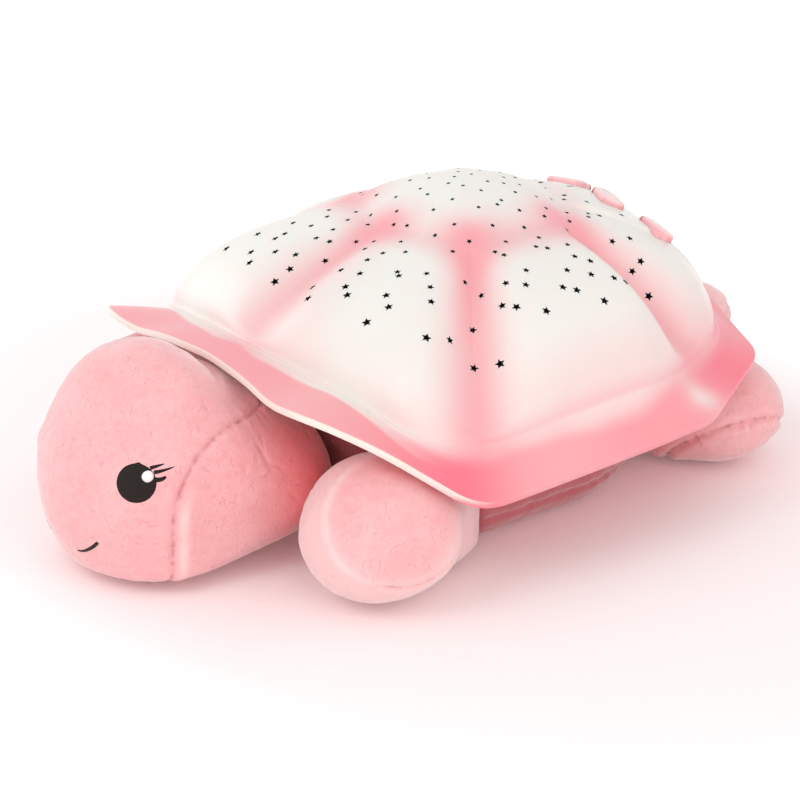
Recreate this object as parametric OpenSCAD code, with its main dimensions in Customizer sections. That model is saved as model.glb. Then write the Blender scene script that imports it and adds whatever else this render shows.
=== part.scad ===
// Plush turtle night light: a translucent star-pierced shell on a stuffed body.
// The turtle faces -Y, its left side is +X, and the floor is z = 0.

/* [Shell] */
// Where the shell's centre lies along Y
shell_y = 27; // [27:1:27]
// Height of the crown above the floor
crown_z = 141.5; // [136:0.5:146]
// Wall thickness of the shell
shell_wall = 2.2; // [1.8:0.1:2.6]
// Sections around the shell, a multiple of 8
shell_steps = 72; // [48:8:96]
// How far the foot of a plate bulges outwards, as a share of its reach
plate_out = 0.90; // [0.8:0.01:0.95]
// How high the shoulder of a plate bulges, as a share of its height
plate_up = 0.74; // [0.65:0.01:0.85]
// How deep the valleys between the plates cut, as a share of the bulge
valley_depth = 0.31; // [0:0.01:0.35]
// Half width of a valley in degrees
valley_half = 8; // [5:0.5:12]
// How far the button panel stands proud of the rear plate
panel_rise = 1.4; // [0:0.1:2]

/* [Stars] */
// Number of star holes in the shell
star_count = 230; // [40:1:260]
// Outer radius of the smallest stars, near the crown
star_small = 1.15; // [0.9:0.05:1.5]
// Outer radius of the largest stars, low on the plates
star_large = 2.4; // [2:0.1:3.5]
// How far the stars reach down the shell, as a share of its radius
star_reach = 0.84; // [0.5:0.01:0.9]

/* [Buttons] */
// Length of a button cap along the arc
button_l = 20; // [16:0.5:22]
// Width of a button cap
button_w = 12; // [10:0.5:13]
// How far a cap stands above the shell
button_rise = 3.6; // [2.5:0.1:4.5]
// How far a button can be pressed
button_travel = 0.8; // [0.5:0.1:0.8]

/* [Base] */
// Wall thickness of the lower casing
base_wall = 2; // [1.8:0.1:2.4]
// Underside of the lower casing above the floor
base_z = 10; // [10:0.5:12]
// Radius of the flat floor of the lower casing
base_floor_r = 43; // [42:0.5:45]

/* [Battery bay] */
// Diameter of one AAA cell
cell_d = 10.5; // [10.5:0.1:10.5]
// Length of one AAA cell
cell_l = 44.5; // [44.5:0.1:44.5]
// Spacing of the three cells
cell_pitch = 11.2; // [11:0.1:11.4]
// Width of the bay inside
bay_w = 34; // [34:0.5:35]
// Length of the bay inside
bay_l = 54; // [54:0.5:56]
// Thickness of the battery door
door_t = 2.2; // [2:0.1:2.4]

/* [Stuffed body] */
// Gap between the stuffed body and the hard casing
plush_gap = 0.6; // [0.5:0.1:1]
// Width of the window under the belly
window_w = 60; // [56:1:62]
// Length of the window under the belly
window_l = 84; // [82:1:86]
// Radius of the root that a front flipper turns on
front_root_r = 27; // [24:0.5:28]
// Radius of the root that a rear flipper turns on
rear_root_r = 21; // [18:0.5:22]

/* [Hidden] */

$fn = 48;
eps = 0.01;

// ---- Outlines of the shell, left half, front to rear, about its centre ----
rim_outline = [[0, -138], [80, -144], [127, -90], [124.5, 42], [90, 101], [0, 129]];
foot_outline = [[0, -119], [61, -108.5], [112, -96], [107, 30], [70, 98], [0, 102]];
crown_outline = [[0, -48], [44, -31], [42, 25], [0, 48]];

// Heights along those outlines: angle from the front, height
rim_heights = [
    [0, 86.5], [14, 85.8], [22, 82], [29, 86.5], [40, 72.5], [56, 46.5],
    [95, 51], [137, 60], [180, 77]
];
foot_heights = [[0, 88], [28, 80.8], [56, 66], [95, 71], [137, 66], [180, 92]];
crown_heights = [[0, 124], [55, 127], [120, 125], [180, 127]];

// Angles of the valleys between the plates
valley_angles = [0, 55, 121];

// How widely each line is softened, in degrees
rim_soft = 3.5;
rim_height_soft = 4;
foot_soft = 9;
crown_soft = 12;

// Button panel: half angle about the rear, and the width of its edge
panel_half = 32;
panel_edge = 3;

// Button places: angle from the rear towards the left side, radius
button_places = [[25, 90], [11, 74], [-11, 74], [-25, 90]];

// Heights along a button's own axis, from the shell's surface
button_skirt = -4.4;
button_flange = 1.2;
button_lip = 0.8;
button_stem = -8.6;
button_gap = 0.05;
plunger_h = 0.25;
switch_top = button_stem - button_travel - button_gap - plunger_h;
switch_h = 3.5;
switch_side = 6;
board_t = 1.2;
post_reach = 10.5;
post_r = 2;
button_clear = 0.3;

// Base screws: x, y, seat height
screw_places = [[22, -84, 69], [-22, -84, 69], [78, 10, 57.5], [-78, 10, 57.5], [0, 84, 80.5]];
screw_l = 13;
screw_web = 3;
screw_way_h = 15;
boss_r = 4.2;
boss_gap = 0.2;
pilot_h = 13;
screw_r = 1.2;
screw_head_r = 2.7;
screw_head_h = 2;
pad_r = 4.6;
pad_h = 8;

// Battery bay
bay_wall = 1.8;
bay_top = 24.2;
cell_z = base_z + 7.5;
cell_y = 2.2;
door_l = 72;
door_w = 42;
door_screw_y = 32;
door_shank_r = 1.25;
door_boss_r = 3.4;
door_boss_top = 22;
door_lip = 1.6;
spring_turns = 2.5;
spring_steps = 24;

// Main board and lamp
post_top = 32;
main_t = 1.6;
lamp_base = post_top + main_t;
lamp_top = 58;
led_r = 1.5;
led_places = [[0, 3.4], [3, -1.8], [-3, -1.8]];

// Stuffed parts
head_cut_y = -98;
tail_cut_y = 78;
cranium = [[0, -178.5, 49.8], [47, 36, 51.5], -23.3];
jowl = [[0, -170, 9], [47, 39.4, 8.7], 0];
neck = [[0, -119, 32.5], [51, 29, 32], 0];
tail_root = [[0, 92, 34], [20, 16, 18], 0];
tail_tip = [[0, 142.4, 44], [20, 21, 15.5], 0];
front_pad = [[90, -110, 31], [41, 36, 30.8], -59];
front_root = [72, -78];
front_root_z = [4, 37];
rear_pad = [[66, 101, 25.5], [31, 34, 25.3], 37];
rear_root = [47, 85];
rear_root_z = [4, 35];
pocket_gap = 0.7;
pocket_sweep = 7;

// Where the brim rests on the nape: front edge, height there, slope
nape_y = -144;
nape_z = 81.5;
nape_slope = 8.5;

// Left eye: its centre on the head and the way it faces
eye_at = [39.3, -197.4, 54.8];
eye_facing = [0.79, -0.57, 0.2];
eye_r = 8.6;
glint_r = 2.7;
glint_at = [-2.9, 4.6];

// Left lashes and the left corner of the mouth, stitched along the cloth
lashes = [
    [[41.2, -191.7, 60.9], [42.6, -188.7, 61.7], [43.4, -185.9, 62.1]],
    [[42.4, -190.6, 59.1], [44, -187.6, 59.3], [45.1, -182, 60.4]],
    [[43.1, -190.8, 56.2], [44.4, -188.4, 55.4], [44.8, -186.3, 56.9]]
];
lash_r = 0.6;
smile = [[12.5, -211.8, 18.4], [16, -210.9, 18.6], [20.4, -209.9, 20.9], [25.6, -209, 26.3]];
smile_r = 0.8;

shell_pink = [0.98, 0.86, 0.86];
plush_pink = [0.96, 0.66, 0.69];

// ---- Small tools ----
function total(v) = v * [for (x = v) 1];
function mix(a, b, t) = a + (b - a) * t;
function curve(a, b, c, t) = (1 - t) * (1 - t) * a + 2 * t * (1 - t) * b + t * t * c;
function unit(v) = v / norm(v);
function step01(x) = let (t = max(0, min(1, x))) t * t * (3 - 2 * t);
function frac(x) = x - floor(x);

// Angle from the front, folded onto the left half
function fold(a) = let (b = (a % 360 + 360) % 360) b > 180 ? 360 - b : b;
function bearing(p) = atan2(p[0], -p[1]);
function polar(r, a, z) = [r * sin(a), -r * cos(a), z];

// Radius of a straight-sided outline at an angle
function edge_r(line, a, i = 0) =
    i < len(line) - 2 && bearing(line[i + 1]) < a
        ? edge_r(line, a, i + 1)
        : let (
            p = line[i], q = line[i + 1], span = bearing(q) - bearing(p),
            s = a - bearing(p)
        )
        norm(p) * norm(q) * sin(span) / (norm(p) * sin(s) + norm(q) * sin(span - s));

function soft_r(line, a, reach) =
    total([for (k = [-4:4]) edge_r(line, fold(a + k * reach / 4))]) / 9;
function soft_z(keys, a, reach) =
    total([for (k = [-4:4]) lookup(fold(a + k * reach / 4), keys)]) / 9;

// ---- The shell's surface ----
function valley(a) =
    max([for (v = valley_angles) exp(-pow((fold(a) - v) / valley_half, 2))]);
function panel(a) = step01((panel_half - (180 - fold(a))) / panel_edge);

// Everything that one section needs: radii, heights and the plate's bulge
function frame_at(a) =
    let (
        rh = soft_r(crown_outline, a, crown_soft),
        zh = soft_z(crown_heights, a, crown_soft),
        rj = soft_r(foot_outline, a, foot_soft),
        zj = soft_z(foot_heights, a, foot_soft),
        v = valley(a)
    )
    [
        rh, zh, rj, zj,
        mix(rh, rj, plate_out - valley_depth * v),
        mix(zj, zh, plate_up - valley_depth * v),
        panel_rise * panel(a)
    ];

function panel_hump(t) = step01(t / 0.1) * step01((1 - t) / 0.14);
function crown_point(f, t) = [t * f[0], crown_z - (crown_z - f[1]) * t * t];
function plate_point(f, t) =
    [curve(f[0], f[4], f[2], t), curve(f[1], f[5], f[3], t) + f[6] * panel_hump(t)];
function brim_point(f, rr, zr, t) =
    [
        curve(f[2], mix(f[2], rr, 0.28), rr, t),
        curve(f[3], mix(f[3], zr, 0.75), zr, t)
    ];

crown_rows = 3;
plate_rows = 8;
brim_rows = 4;

function section(a) =
    let (
        f = frame_at(a),
        rr = soft_r(rim_outline, a, rim_soft),
        zr = soft_z(rim_heights, a, rim_height_soft)
    )
    concat(
        [for (i = [0:crown_rows]) crown_point(f, i / crown_rows)],
        [for (i = [1:plate_rows]) plate_point(f, i / plate_rows)],
        [for (i = [1:brim_rows]) brim_point(f, rr, zr, i / brim_rows)]
    );

// The same section moved inwards by a wall's thickness
function inner_section(s, wall) =
    [
        for (i = [0:len(s) - 1])
            let (t = unit(s[min(len(s) - 1, i + 1)] - s[max(0, i - 1)]))
            s[i] + wall * [i == 0 ? 0 : t[1], -t[0]]
    ];

angles = [for (i = [0:shell_steps - 1]) i * 360 / shell_steps];
outer_sections = [for (a = angles) section(a)];
inner_sections = [for (s = outer_sections) inner_section(s, shell_wall)];
rows = len(outer_sections[0]);

function ring_of(sections, j) =
    [for (i = [0:len(sections) - 1]) polar(sections[i][j][0], angles[i], sections[i][j][1])];

// Height of the shell over a place in plan, and its outward normal
function plate_t(f, rho) =
    let (
        a = f[0] - 2 * f[4] + f[2], b = 2 * (f[4] - f[0]), c = f[0] - rho
    )
    2 * c / (-b - sqrt(max(0, b * b - 4 * a * c)));
function shell_z(x, y) =
    let (rho = norm([x, y]), f = frame_at(atan2(x, -y)))
    rho < f[0] ? crown_point(f, rho / f[0])[1] : plate_point(f, plate_t(f, rho))[1];
function shell_normal(x, y, h = 1) =
    unit([
        shell_z(x - h, y) - shell_z(x + h, y),
        shell_z(x, y - h) - shell_z(x, y + h),
        2 * h
    ]);

// ---- Stars: a golden-angle spiral, nudged so that it looks scattered ----
function jitter(i, k) = frac(sin(i * 71.3 + k * 133.7) * 437.58) - 0.5;
function star_rho(i) = star_reach * pow((i + 0.6) / star_count, 0.56);
function star_bearing(i) = i * 137.508 + 9 * jitter(i, 1);
function star_place(i) =
    let (
        a = star_bearing(i),
        rho = star_rho(i) * soft_r(foot_outline, a, foot_soft) + 7 * jitter(i, 2)
    )
    [rho * sin(a), -rho * cos(a)];
function star_size(i) = mix(star_small, star_large, pow(i / star_count, 1.2));
function near_button(p) =
    min([for (b = button_places) norm(p - button_xy(b))]) < button_l / 2 + 6;
function star_points(r) =
    [for (k = [0:9]) let (q = k % 2 == 0 ? r : 0.48 * r) [q * cos(36 * k), q * sin(36 * k)]];

// ---- Casing and cushion sections ----
foot_row = crown_rows + plate_rows;
function base_section(a) =
    let (
        s = section(a), p = s[foot_row], rj = p[0], zj = p[1],
        up = unit(s[foot_row - 1] - p), lip = p + 2.5 * up + (shell_wall + 0.7) * [-up[1], up[0]]
    )
    [
        lip, [min(rj - 4.6, lip[0] - 0.5), zj - 7], [0.72 * rj, mix(zj, 30, 0.5)],
        [0.47 * rj, 27], [base_floor_r, base_z]
    ];
function base_inner(s) =
    [
        [s[4][0] - 1, s[4][1] + base_wall], [s[3][0] - 1.6, s[3][1] + 1.6],
        [s[2][0] - 1.8, s[2][1] + 1.6], [s[1][0] - base_wall, s[1][1]],
        [s[0][0] - base_wall, s[0][1]]
    ];
function cushion_section(a) =
    let (
        b = base_section(a), rj = b[2][0] / 0.72, r = 0.82 * rj,
        t = (r - b[2][0]) / (b[1][0] - b[2][0]), z = mix(b[2][1], b[1][1], t),
        g = plush_gap
    )
    [
        [r, z - 1.8 * g], [0.84 * rj, z - 9], [0.78 * rj, 34], [0.71 * rj, 12],
        [0.66 * rj, 3], [0.6 * rj, -1]
    ];
function cushion_inner(a) =
    let (b = base_section(a), g = plush_gap)
    [
        [b[4][0] + 0.9 * g, b[4][1] - g], [b[3][0] + 1.2 * g, b[3][1] - 1.3 * g],
        [b[2][0] + 0.9 * g, b[2][1] - 1.6 * g]
    ];

// ---- Builders ----
module in_place() { translate([0, shell_y, 0]) children(); }

// A closed solid from rings that run from a first pole to a last pole
module loft(rings, first, last) {
    n = len(rings[0]);
    m = len(rings);
    function at(j, i) = 1 + j * n + i % n;
    points = concat([first], [for (r = rings) each r], [last]);
    faces = concat(
        [for (i = [0:n - 1]) [0, at(0, i + 1), at(0, i)]],
        [
            for (j = [0:m - 2], i = [0:n - 1])
                each [
                    [at(j, i), at(j, i + 1), at(j + 1, i + 1)],
                    [at(j, i), at(j + 1, i + 1), at(j + 1, i)]
                ]
        ],
        [for (i = [0:n - 1]) [1 + m * n, at(m - 1, i), at(m - 1, i + 1)]]
    );
    polyhedron(points, faces);
}

// A round wire swept along a list of points
module tube(path, r, sides = 8) {
    last = len(path) - 1;
    function heading(i) = unit(path[min(last, i + 1)] - path[max(0, i - 1)]);
    function side(d) = unit(cross(d, abs(d[2]) > 0.9 ? [1, 0, 0] : [0, 0, 1]));
    rings = [
        for (i = [0:last])
            let (d = heading(i), u = side(d), w = cross(d, u))
            [
                for (k = [0:sides - 1])
                    path[i] + r * (cos(360 * k / sides) * u - sin(360 * k / sides) * w)
            ]
    ];
    loft(rings, path[0], path[last]);
}

// Stands children at a point with their z axis along a direction
module stand(p, n) {
    translate(p)
        rotate([0, acos(n[2]), atan2(n[1], n[0])])
            children();
}

module ball(spec) {
    translate(spec[0])
        rotate([spec[2], 0, 0])
            scale(spec[1])
                sphere(r = 1, $fn = 32);
}

module pad_ball(spec) {
    translate(spec[0])
        rotate([0, 0, spec[2]])
            scale(spec[1])
                sphere(r = 1, $fn = 32);
}

module rounded(l, w, r, n = 48) {
    square([l - 2 * r, w], center = true);
    square([l, w - 2 * r], center = true);
    for (x = [-1, 1], y = [-1, 1])
        translate([x * (l / 2 - r), y * (w / 2 - r)])
            circle(r, $fn = n);
}

module both_sides() {
    children();
    mirror([1, 0, 0]) children();
}

// ---- Shell ----
module star_hole(p, r) {
    z = shell_z(p[0], p[1]);
    stand([p[0], p[1], z], shell_normal(p[0], p[1]))
        translate([0, 0, -shell_wall - 1.5])
            linear_extrude(shell_wall + 3)
                polygon(star_points(r));
}

function button_xy(b) = let (p = polar(b[1], 180 - b[0], 0)) [p[0], p[1]];

module at_button(b) {
    p = button_xy(b);
    stand([p[0], p[1], shell_z(p[0], p[1])], shell_normal(p[0], p[1], 4))
        children();
}

module button_well(b) {
    at_button(b)
        translate([0, 0, -shell_wall - 3])
            linear_extrude(shell_wall + 6)
                rounded(button_w + 2 * button_clear, button_l + 2 * button_clear, 3 + button_clear);
}

module switch_posts(b) {
    at_button(b)
        for (s = [-1, 1])
            translate([s * post_reach, 0, switch_top - switch_h])
                difference() {
                    cylinder(h = -1.6 - switch_top + switch_h, r = post_r);
                    translate([0, 0, -eps])
                        cylinder(h = 5, r = 0.9, $fn = 24);
                }
}

// The boss ends just inside the lowest part of the shell that is over it
function boss_top(s) =
    min([for (a = [0:45:315]) shell_z(s[0] + boss_r * cos(a), s[1] + boss_r * sin(a))]) - 0.5;

module screw_boss(s) {
    translate([s[0], s[1], s[2] + boss_gap])
        difference() {
            cylinder(h = boss_top(s) - s[2] - boss_gap, r = boss_r);
            translate([0, 0, -eps])
                cylinder(h = pilot_h, r = screw_r + 0.05);
        }
}

module shell_skin() {
    loft(
        concat(
            [for (j = [1:rows - 1]) ring_of(outer_sections, j)],
            [for (j = [rows - 1:-1:1]) ring_of(inner_sections, j)]
        ),
        [0, 0, crown_z], [0, 0, crown_z - shell_wall]
    );
}

module shell_dome() {
    color(shell_pink)
        in_place() {
            difference() {
                shell_skin();
                for (i = [0:star_count - 1])
                    if (!near_button(star_place(i)))
                        star_hole(star_place(i), star_size(i));
                for (b = button_places)
                    button_well(b);
            }
            for (b = button_places)
                switch_posts(b);
            for (s = screw_places)
                screw_boss(s);
        }
}

// ---- Lower casing ----
base_sections = [for (a = angles) base_section(a)];
base_linings = [for (s = base_sections) base_inner(s)];
function base_ring(list, j) =
    [for (i = [0:len(list) - 1]) polar(list[i][j][0], angles[i], list[i][j][1])];

module base_skin() {
    loft(
        concat(
            [for (j = [4:-1:1]) base_ring(base_linings, 4 - j)],
            [base_ring(base_linings, 4)],
            [for (j = [0:4]) base_ring(base_sections, j)]
        ),
        [0, 0, base_z + base_wall], [0, 0, base_z]
    );
}

module screw_pad(s) {
    translate([s[0], s[1], s[2] - pad_h])
        cylinder(h = pad_h, r = pad_r);
}

module screw_way(s) {
    translate([s[0], s[1], s[2] - screw_way_h]) {
        cylinder(h = screw_way_h + eps, r = screw_r + 0.2);
        cylinder(h = screw_way_h - screw_web, r = screw_head_r + 0.4);
    }
}

module battery_bay() {
    translate([-bay_w / 2 - bay_wall, -bay_l / 2 - bay_wall, base_z + base_wall - 0.5])
        cube([bay_w + 2 * bay_wall, bay_l + 2 * bay_wall, bay_top + bay_wall - base_z - base_wall + 0.5]);
    for (x = [-1, 1], y = [-1, 1])
        translate([x * 14, y * 23, bay_top])
            cylinder(h = post_top - bay_top, r = 2.6);
}

module bay_space() {
    translate([-bay_w / 2, -bay_l / 2, base_z - 1])
        cube([bay_w, bay_l, bay_top - base_z + 1]);
    for (x = [-1, 1], y = [-1, 1])
        translate([x * 14, y * 23, bay_top + bay_wall])
            cylinder(h = post_top - bay_top, r = 1);
    translate([-bay_w / 2 + 1.5, bay_l / 2 - eps, base_z + 10])
        cube([4, bay_wall + 1, 3]);
}

module shell_base() {
    color("white")
        in_place()
            difference() {
                union() {
                    base_skin();
                    for (s = screw_places)
                        screw_pad(s);
                    battery_bay();
                    for (y = [-1, 1])
                        translate([0, y * door_screw_y, base_z + 1])
                            cylinder(h = door_boss_top - base_z - 1, r = door_boss_r);
                }
                for (s = screw_places)
                    screw_way(s);
                bay_space();
                for (y = [-1, 1])
                    translate([0, y * door_screw_y, base_z - 1])
                        cylinder(h = 10, r = door_shank_r + 0.06);
            }
}

module screw(r, length, head_r, head_h) {
    difference() {
        union() {
            cylinder(h = head_h, r = head_r);
            cylinder(h = head_h + length, r = r);
        }
        for (turn = [0, 90])
            rotate([0, 0, turn])
                translate([-head_r * 0.6, -0.3, -eps])
                    cube([head_r * 1.2, 0.6, head_h * 0.55]);
    }
}

module base_screws() {
    color("silver")
        in_place()
            for (s = screw_places)
                translate([s[0], s[1], s[2] - screw_web - screw_head_h])
                    screw(screw_r, screw_l, screw_head_r, screw_head_h);
}

// ---- Buttons and their switches ----
module button(b) {
    in_place()
        at_button(b) {
            translate([0, 0, button_skirt])
                linear_extrude(1 - button_skirt)
                    rounded(button_w, button_l, 3);
            hull() {
                linear_extrude(1)
                    rounded(button_w, button_l, 3, 20);
                translate([0, 0, button_rise / 2])
                    linear_extrude(0.4)
                        rounded(button_w - 1, button_l - 1, 3, 20);
                linear_extrude(button_rise)
                    rounded(button_w - 4, button_l - 4, 2.5, 20);
            }
            translate([0, 0, button_skirt - button_flange])
                linear_extrude(button_flange + eps)
                    rounded(button_w + 2 * button_lip, button_l + 2 * button_lip, 3);
            translate([0, 0, button_stem])
                cylinder(h = button_skirt - button_stem, r = 2);
        }
}

module power_button() { color(plush_pink) button(button_places[0]); }
module left_colour_button() { color(plush_pink) button(button_places[1]); }
module right_colour_button() { color(plush_pink) button(button_places[2]); }
module timer_button() { color(plush_pink) button(button_places[3]); }

module tact_switches() {
    color("dimgray")
        in_place()
            for (b = button_places)
                at_button(b) {
                    translate([-switch_side / 2, -switch_side / 2, switch_top - switch_h])
                        cube([switch_side, switch_side, switch_h]);
                    translate([0, 0, switch_top - eps])
                        cylinder(h = plunger_h, r = 1.7);
                }
}

module switch_boards() {
    color("darkgreen")
        in_place()
            for (b = button_places)
                at_button(b)
                    translate([0, 0, switch_top - switch_h - board_t])
                        linear_extrude(board_t)
                            difference() {
                                rounded(2 * post_reach + 5, 12, 2);
                                for (s = [-1, 1])
                                    translate([s * post_reach, 0])
                                        circle(1);
                            }
}

module switch_screws() {
    color("silver")
        in_place()
            for (b = button_places)
                at_button(b)
                    for (s = [-1, 1])
                        translate([s * post_reach, 0, switch_top - switch_h - board_t - 1.2])
                            screw(0.85, board_t + 3.5, 1.8, 1.2);
}

// ---- Main board and lamp ----
module main_board() {
    color("darkgreen")
        in_place()
            translate([0, 0, post_top])
                linear_extrude(main_t)
                    difference() {
                        rounded(38, 56, 3);
                        for (x = [-1, 1], y = [-1, 1])
                            translate([x * 14, y * 23])
                                circle(1.2);
                    }
}

module board_components() {
    color("black")
        in_place()
            translate([0, 0, lamp_base]) {
                translate([-5, -21, 0]) cube([10, 6, 1.8]);
                translate([-14, 12, 0]) cylinder(h = 8, r = 3);
                translate([14, 12, 0]) cylinder(h = 6, r = 2.5);
                translate([12, -14, 0]) cube([4, 3, 1.5]);
                translate([-16, -14, 0]) cube([4, 3, 1.5]);
                translate([-4, 20, 0]) cube([8, 5, 5]);
            }
}

module board_screws() {
    color("silver")
        in_place()
            for (x = [-1, 1], y = [-1, 1])
                translate([x * 14, y * 23, lamp_base + 1.4])
                    mirror([0, 0, 1])
                        screw(0.95, 6, 2.2, 1.4);
}

module lamp_post() {
    color("white")
        in_place()
            translate([0, 0, lamp_base])
                rotate_extrude()
                    polygon([
                        [4, 0], [11, 0], [11, 1.6], [7.5, 4], [6.2, lamp_top - lamp_base - 4],
                        [9.6, lamp_top - lamp_base], [4, lamp_top - lamp_base]
                    ]);
}

module led_board() {
    color("white")
        in_place()
            translate([0, 0, lamp_top])
                difference() {
                    cylinder(h = board_t, r = 9.2);
                    translate([0, -7, -eps])
                        cylinder(h = board_t + 1, r = 0.9);
                }
}

module led(i) {
    in_place()
        translate([led_places[i][0], led_places[i][1], lamp_top + board_t]) {
            cylinder(h = 0.8, r = led_r + 0.3);
            cylinder(h = 3, r = led_r);
            translate([0, 0, 3])
                sphere(led_r);
        }
}

module amber_led() { color("orange") led(0); }
module green_led() { color("limegreen") led(1); }
module blue_led() { color("deepskyblue") led(2); }

// ---- Cells, contacts and wires ----
module battery_cells() {
    color("goldenrod")
        in_place()
            for (i = [-1:1])
                translate([i * cell_pitch, cell_y, cell_z])
                    rotate([i == 0 ? 90 : -90, 0, 0]) {
                        translate([0, 0, -cell_l / 2])
                            cylinder(h = cell_l - 1, r = cell_d / 2 - 0.05);
                        translate([0, 0, cell_l / 2 - 1 - eps])
                            cylinder(h = 1, r = 1.9);
                    }
}

module contact_spring(i) {
    way = i == 0 ? 1 : -1;
    from = way > 0 ? bay_l / 2 - 0.5 : -bay_l / 2 + 0.5;
    to = cell_y + way * (cell_l / 2);
    tube(
        [
            for (k = [0:spring_steps])
                let (t = k / spring_steps, r = mix(3.6, 2, t), q = 360 * spring_turns * t)
                [
                    i * cell_pitch + r * cos(q),
                    mix(from - way * 0.5, to + way * 0.6, t),
                    cell_z + r * sin(q)
                ]
        ],
        0.4, 6
    );
}

module contact_springs() {
    color("silver")
        in_place()
            for (i = [-1:1])
                contact_spring(i);
}

module contact_plates() {
    color("silver")
        in_place()
            for (i = [-1:1], s = [-1, 1])
                translate([i * cell_pitch - 4, s * (bay_l / 2 - 0.25) - 0.2, cell_z - 4])
                    cube([8, 0.4, 8]);
}

module battery_leads() {
    color("crimson")
        in_place()
            for (s = [0, 1])
                tube(
                    [
                        [-14.6 + 1.6 * s, 27, 21.4], [-14.6 + 1.6 * s, 31, 21.8],
                        [-15 + 1.6 * s, 33, 26], [-12 + 1.6 * s, 33, 32.5],
                        [-6 + 1.4 * s, 30.5, 35.6], [-3.2 + 1.6 * s, 27.5, 35.2],
                        [-3.2 + 1.6 * s, 25, 35.2]
                    ],
                    0.6, 6
                );
}

module lamp_leads() {
    color("white")
        in_place()
            for (s = [-1, 1])
                tube(
                    [
                        [s * 1.5, -1, lamp_base + 0.2], [s * 1.5, -1, lamp_base + 8],
                        [s * 1.2, 0, mix(lamp_base, lamp_top, 0.6)], [s * 1.2, 0, lamp_top - 0.1]
                    ],
                    0.6, 6
                );
}

module switch_leads() {
    color("slategray")
        in_place()
            for (b = button_places)
                let (q = button_xy(b), n = shell_normal(q[0], q[1], 4), z = shell_z(q[0], q[1]),
                    p = [q[0], q[1], z] + n * (switch_top - switch_h - board_t - 0.7))
                tube(
                    [
                        p, p - 7 * n, [0.62 * p[0], 52, 80], [0.4 * p[0], 40, 58],
                        [0.16 * p[0], 33, 44], [0.07 * p[0], 28, 37.4], [0.07 * p[0], 25, 37.4]
                    ],
                    0.6, 6
                );
}

// ---- Battery door ----
module door_screw_hole(y) {
    translate([0, y, base_z - door_t - 1])
        cylinder(h = door_t + 3, r = door_shank_r + 0.06);
    translate([0, y, base_z - door_t - 1])
        cylinder(h = 2.4, r = 2.75);
}

module battery_door() {
    color("white")
        in_place()
            difference() {
                union() {
                    translate([0, 0, base_z - door_t])
                        linear_extrude(door_t - 0.1)
                            rounded(door_w, door_l, 4);
                    translate([0, 0, base_z - 0.2])
                        linear_extrude(door_lip)
                            difference() {
                                square([bay_w - 0.6, bay_l - 0.6], center = true);
                                square([bay_w - 3, bay_l - 3], center = true);
                            }
                }
                for (y = [-1, 1])
                    door_screw_hole(y * door_screw_y);
                for (k = [-2:2])
                    translate([0, k * 4, base_z - door_t])
                        rotate([0, 90, 0])
                            cylinder(h = 20, r = 0.6, center = true);
            }
}

module door_screw(y) {
    in_place()
        translate([0, y, base_z - door_t + 0.05])
            screw(door_shank_r, 7.5, 2.6, 1.3);
}

module front_door_screw() { color("silver") door_screw(-door_screw_y); }
module rear_door_screw() { color("silver") door_screw(door_screw_y); }

// ---- Stuffed body ----
cushion_outer = [for (a = angles) cushion_section(a)];
cushion_lining = [for (a = angles) cushion_inner(a)];
cushion_rows = len(cushion_outer[0]);

module window_shape(grow) {
    rounded(window_w + grow, window_l + grow, 10);
}

// The space that a flipper turns in: its root, and a fan out past its pad
module flipper_pocket(pad, root, root_r) {
    translate([0, 0, -1])
        linear_extrude(120)
            hull() {
                translate(root)
                    circle(root_r + pocket_gap, $fn = 96);
                translate([pad[0][0], pad[0][1]])
                    circle(min(pad[1][0], pad[1][1]) + pocket_sweep, $fn = 96);
            }
}

module belly_cushion() {
    color(plush_pink)
        in_place()
            difference() {
                loft(
                    concat(
                        [for (j = [0:2]) base_ring(cushion_lining, j)],
                        [for (j = [0:cushion_rows - 1]) base_ring(cushion_outer, j)]
                    ),
                    [0, 0, base_z - plush_gap], [0, 0, -1]
                );
                translate([-100, -150, -10])
                    cube([200, 300, 10]);
                translate([0, 0, -1])
                    linear_extrude(base_z + 10)
                        window_shape(0);
                for (s = screw_places)
                    translate([s[0], s[1], s[2] - pad_h - 3])
                        cylinder(h = pad_h + 10, r = pad_r + 0.6);
                translate([-60, head_cut_y - 40.3, -1])
                    cube([120, 40 + 0.6, 120]);
                translate([-30, tail_cut_y - 0.3, -1])
                    cube([60, 40, 63]);
                both_sides() {
                    flipper_pocket(front_pad, front_root, front_root_r);
                    flipper_pocket(rear_pad, rear_root, rear_root_r);
                }
            }
}

module belly_binding() {
    color(plush_pink)
        in_place()
            translate([0, 0, 0.3])
                linear_extrude(base_z - plush_gap - 1)
                    difference() {
                        window_shape(-0.2);
                        window_shape(-2.4);
                    }
}

module head() {
    color(plush_pink)
        in_place()
            difference() {
                hull() {
                    ball(cranium);
                    ball(jowl);
                    ball(neck);
                }
                translate([-100, head_cut_y, -1])
                    cube([200, 200, 200]);
                translate([-100, nape_y, nape_z])
                    rotate([nape_slope, 0, 0])
                        cube([200, 60, 40]);
            }
}

module tail() {
    color(plush_pink)
        in_place()
            difference() {
                hull() {
                    ball(tail_root);
                    ball(tail_tip);
                }
                translate([-50, tail_cut_y - 100, -1])
                    cube([100, 100, 200]);
            }
}

module flipper(pad, root, root_r, root_z) {
    in_place()
        hull() {
            pad_ball(pad);
            translate([root[0], root[1], root_z[0] + 6])
                cylinder(h = root_z[1] - root_z[0] - 9, r = root_r, $fn = 40);
            translate([root[0], root[1], root_z[0]])
                cylinder(h = root_z[1] - root_z[0], r = root_r - 5, $fn = 40);
        }
}

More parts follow.
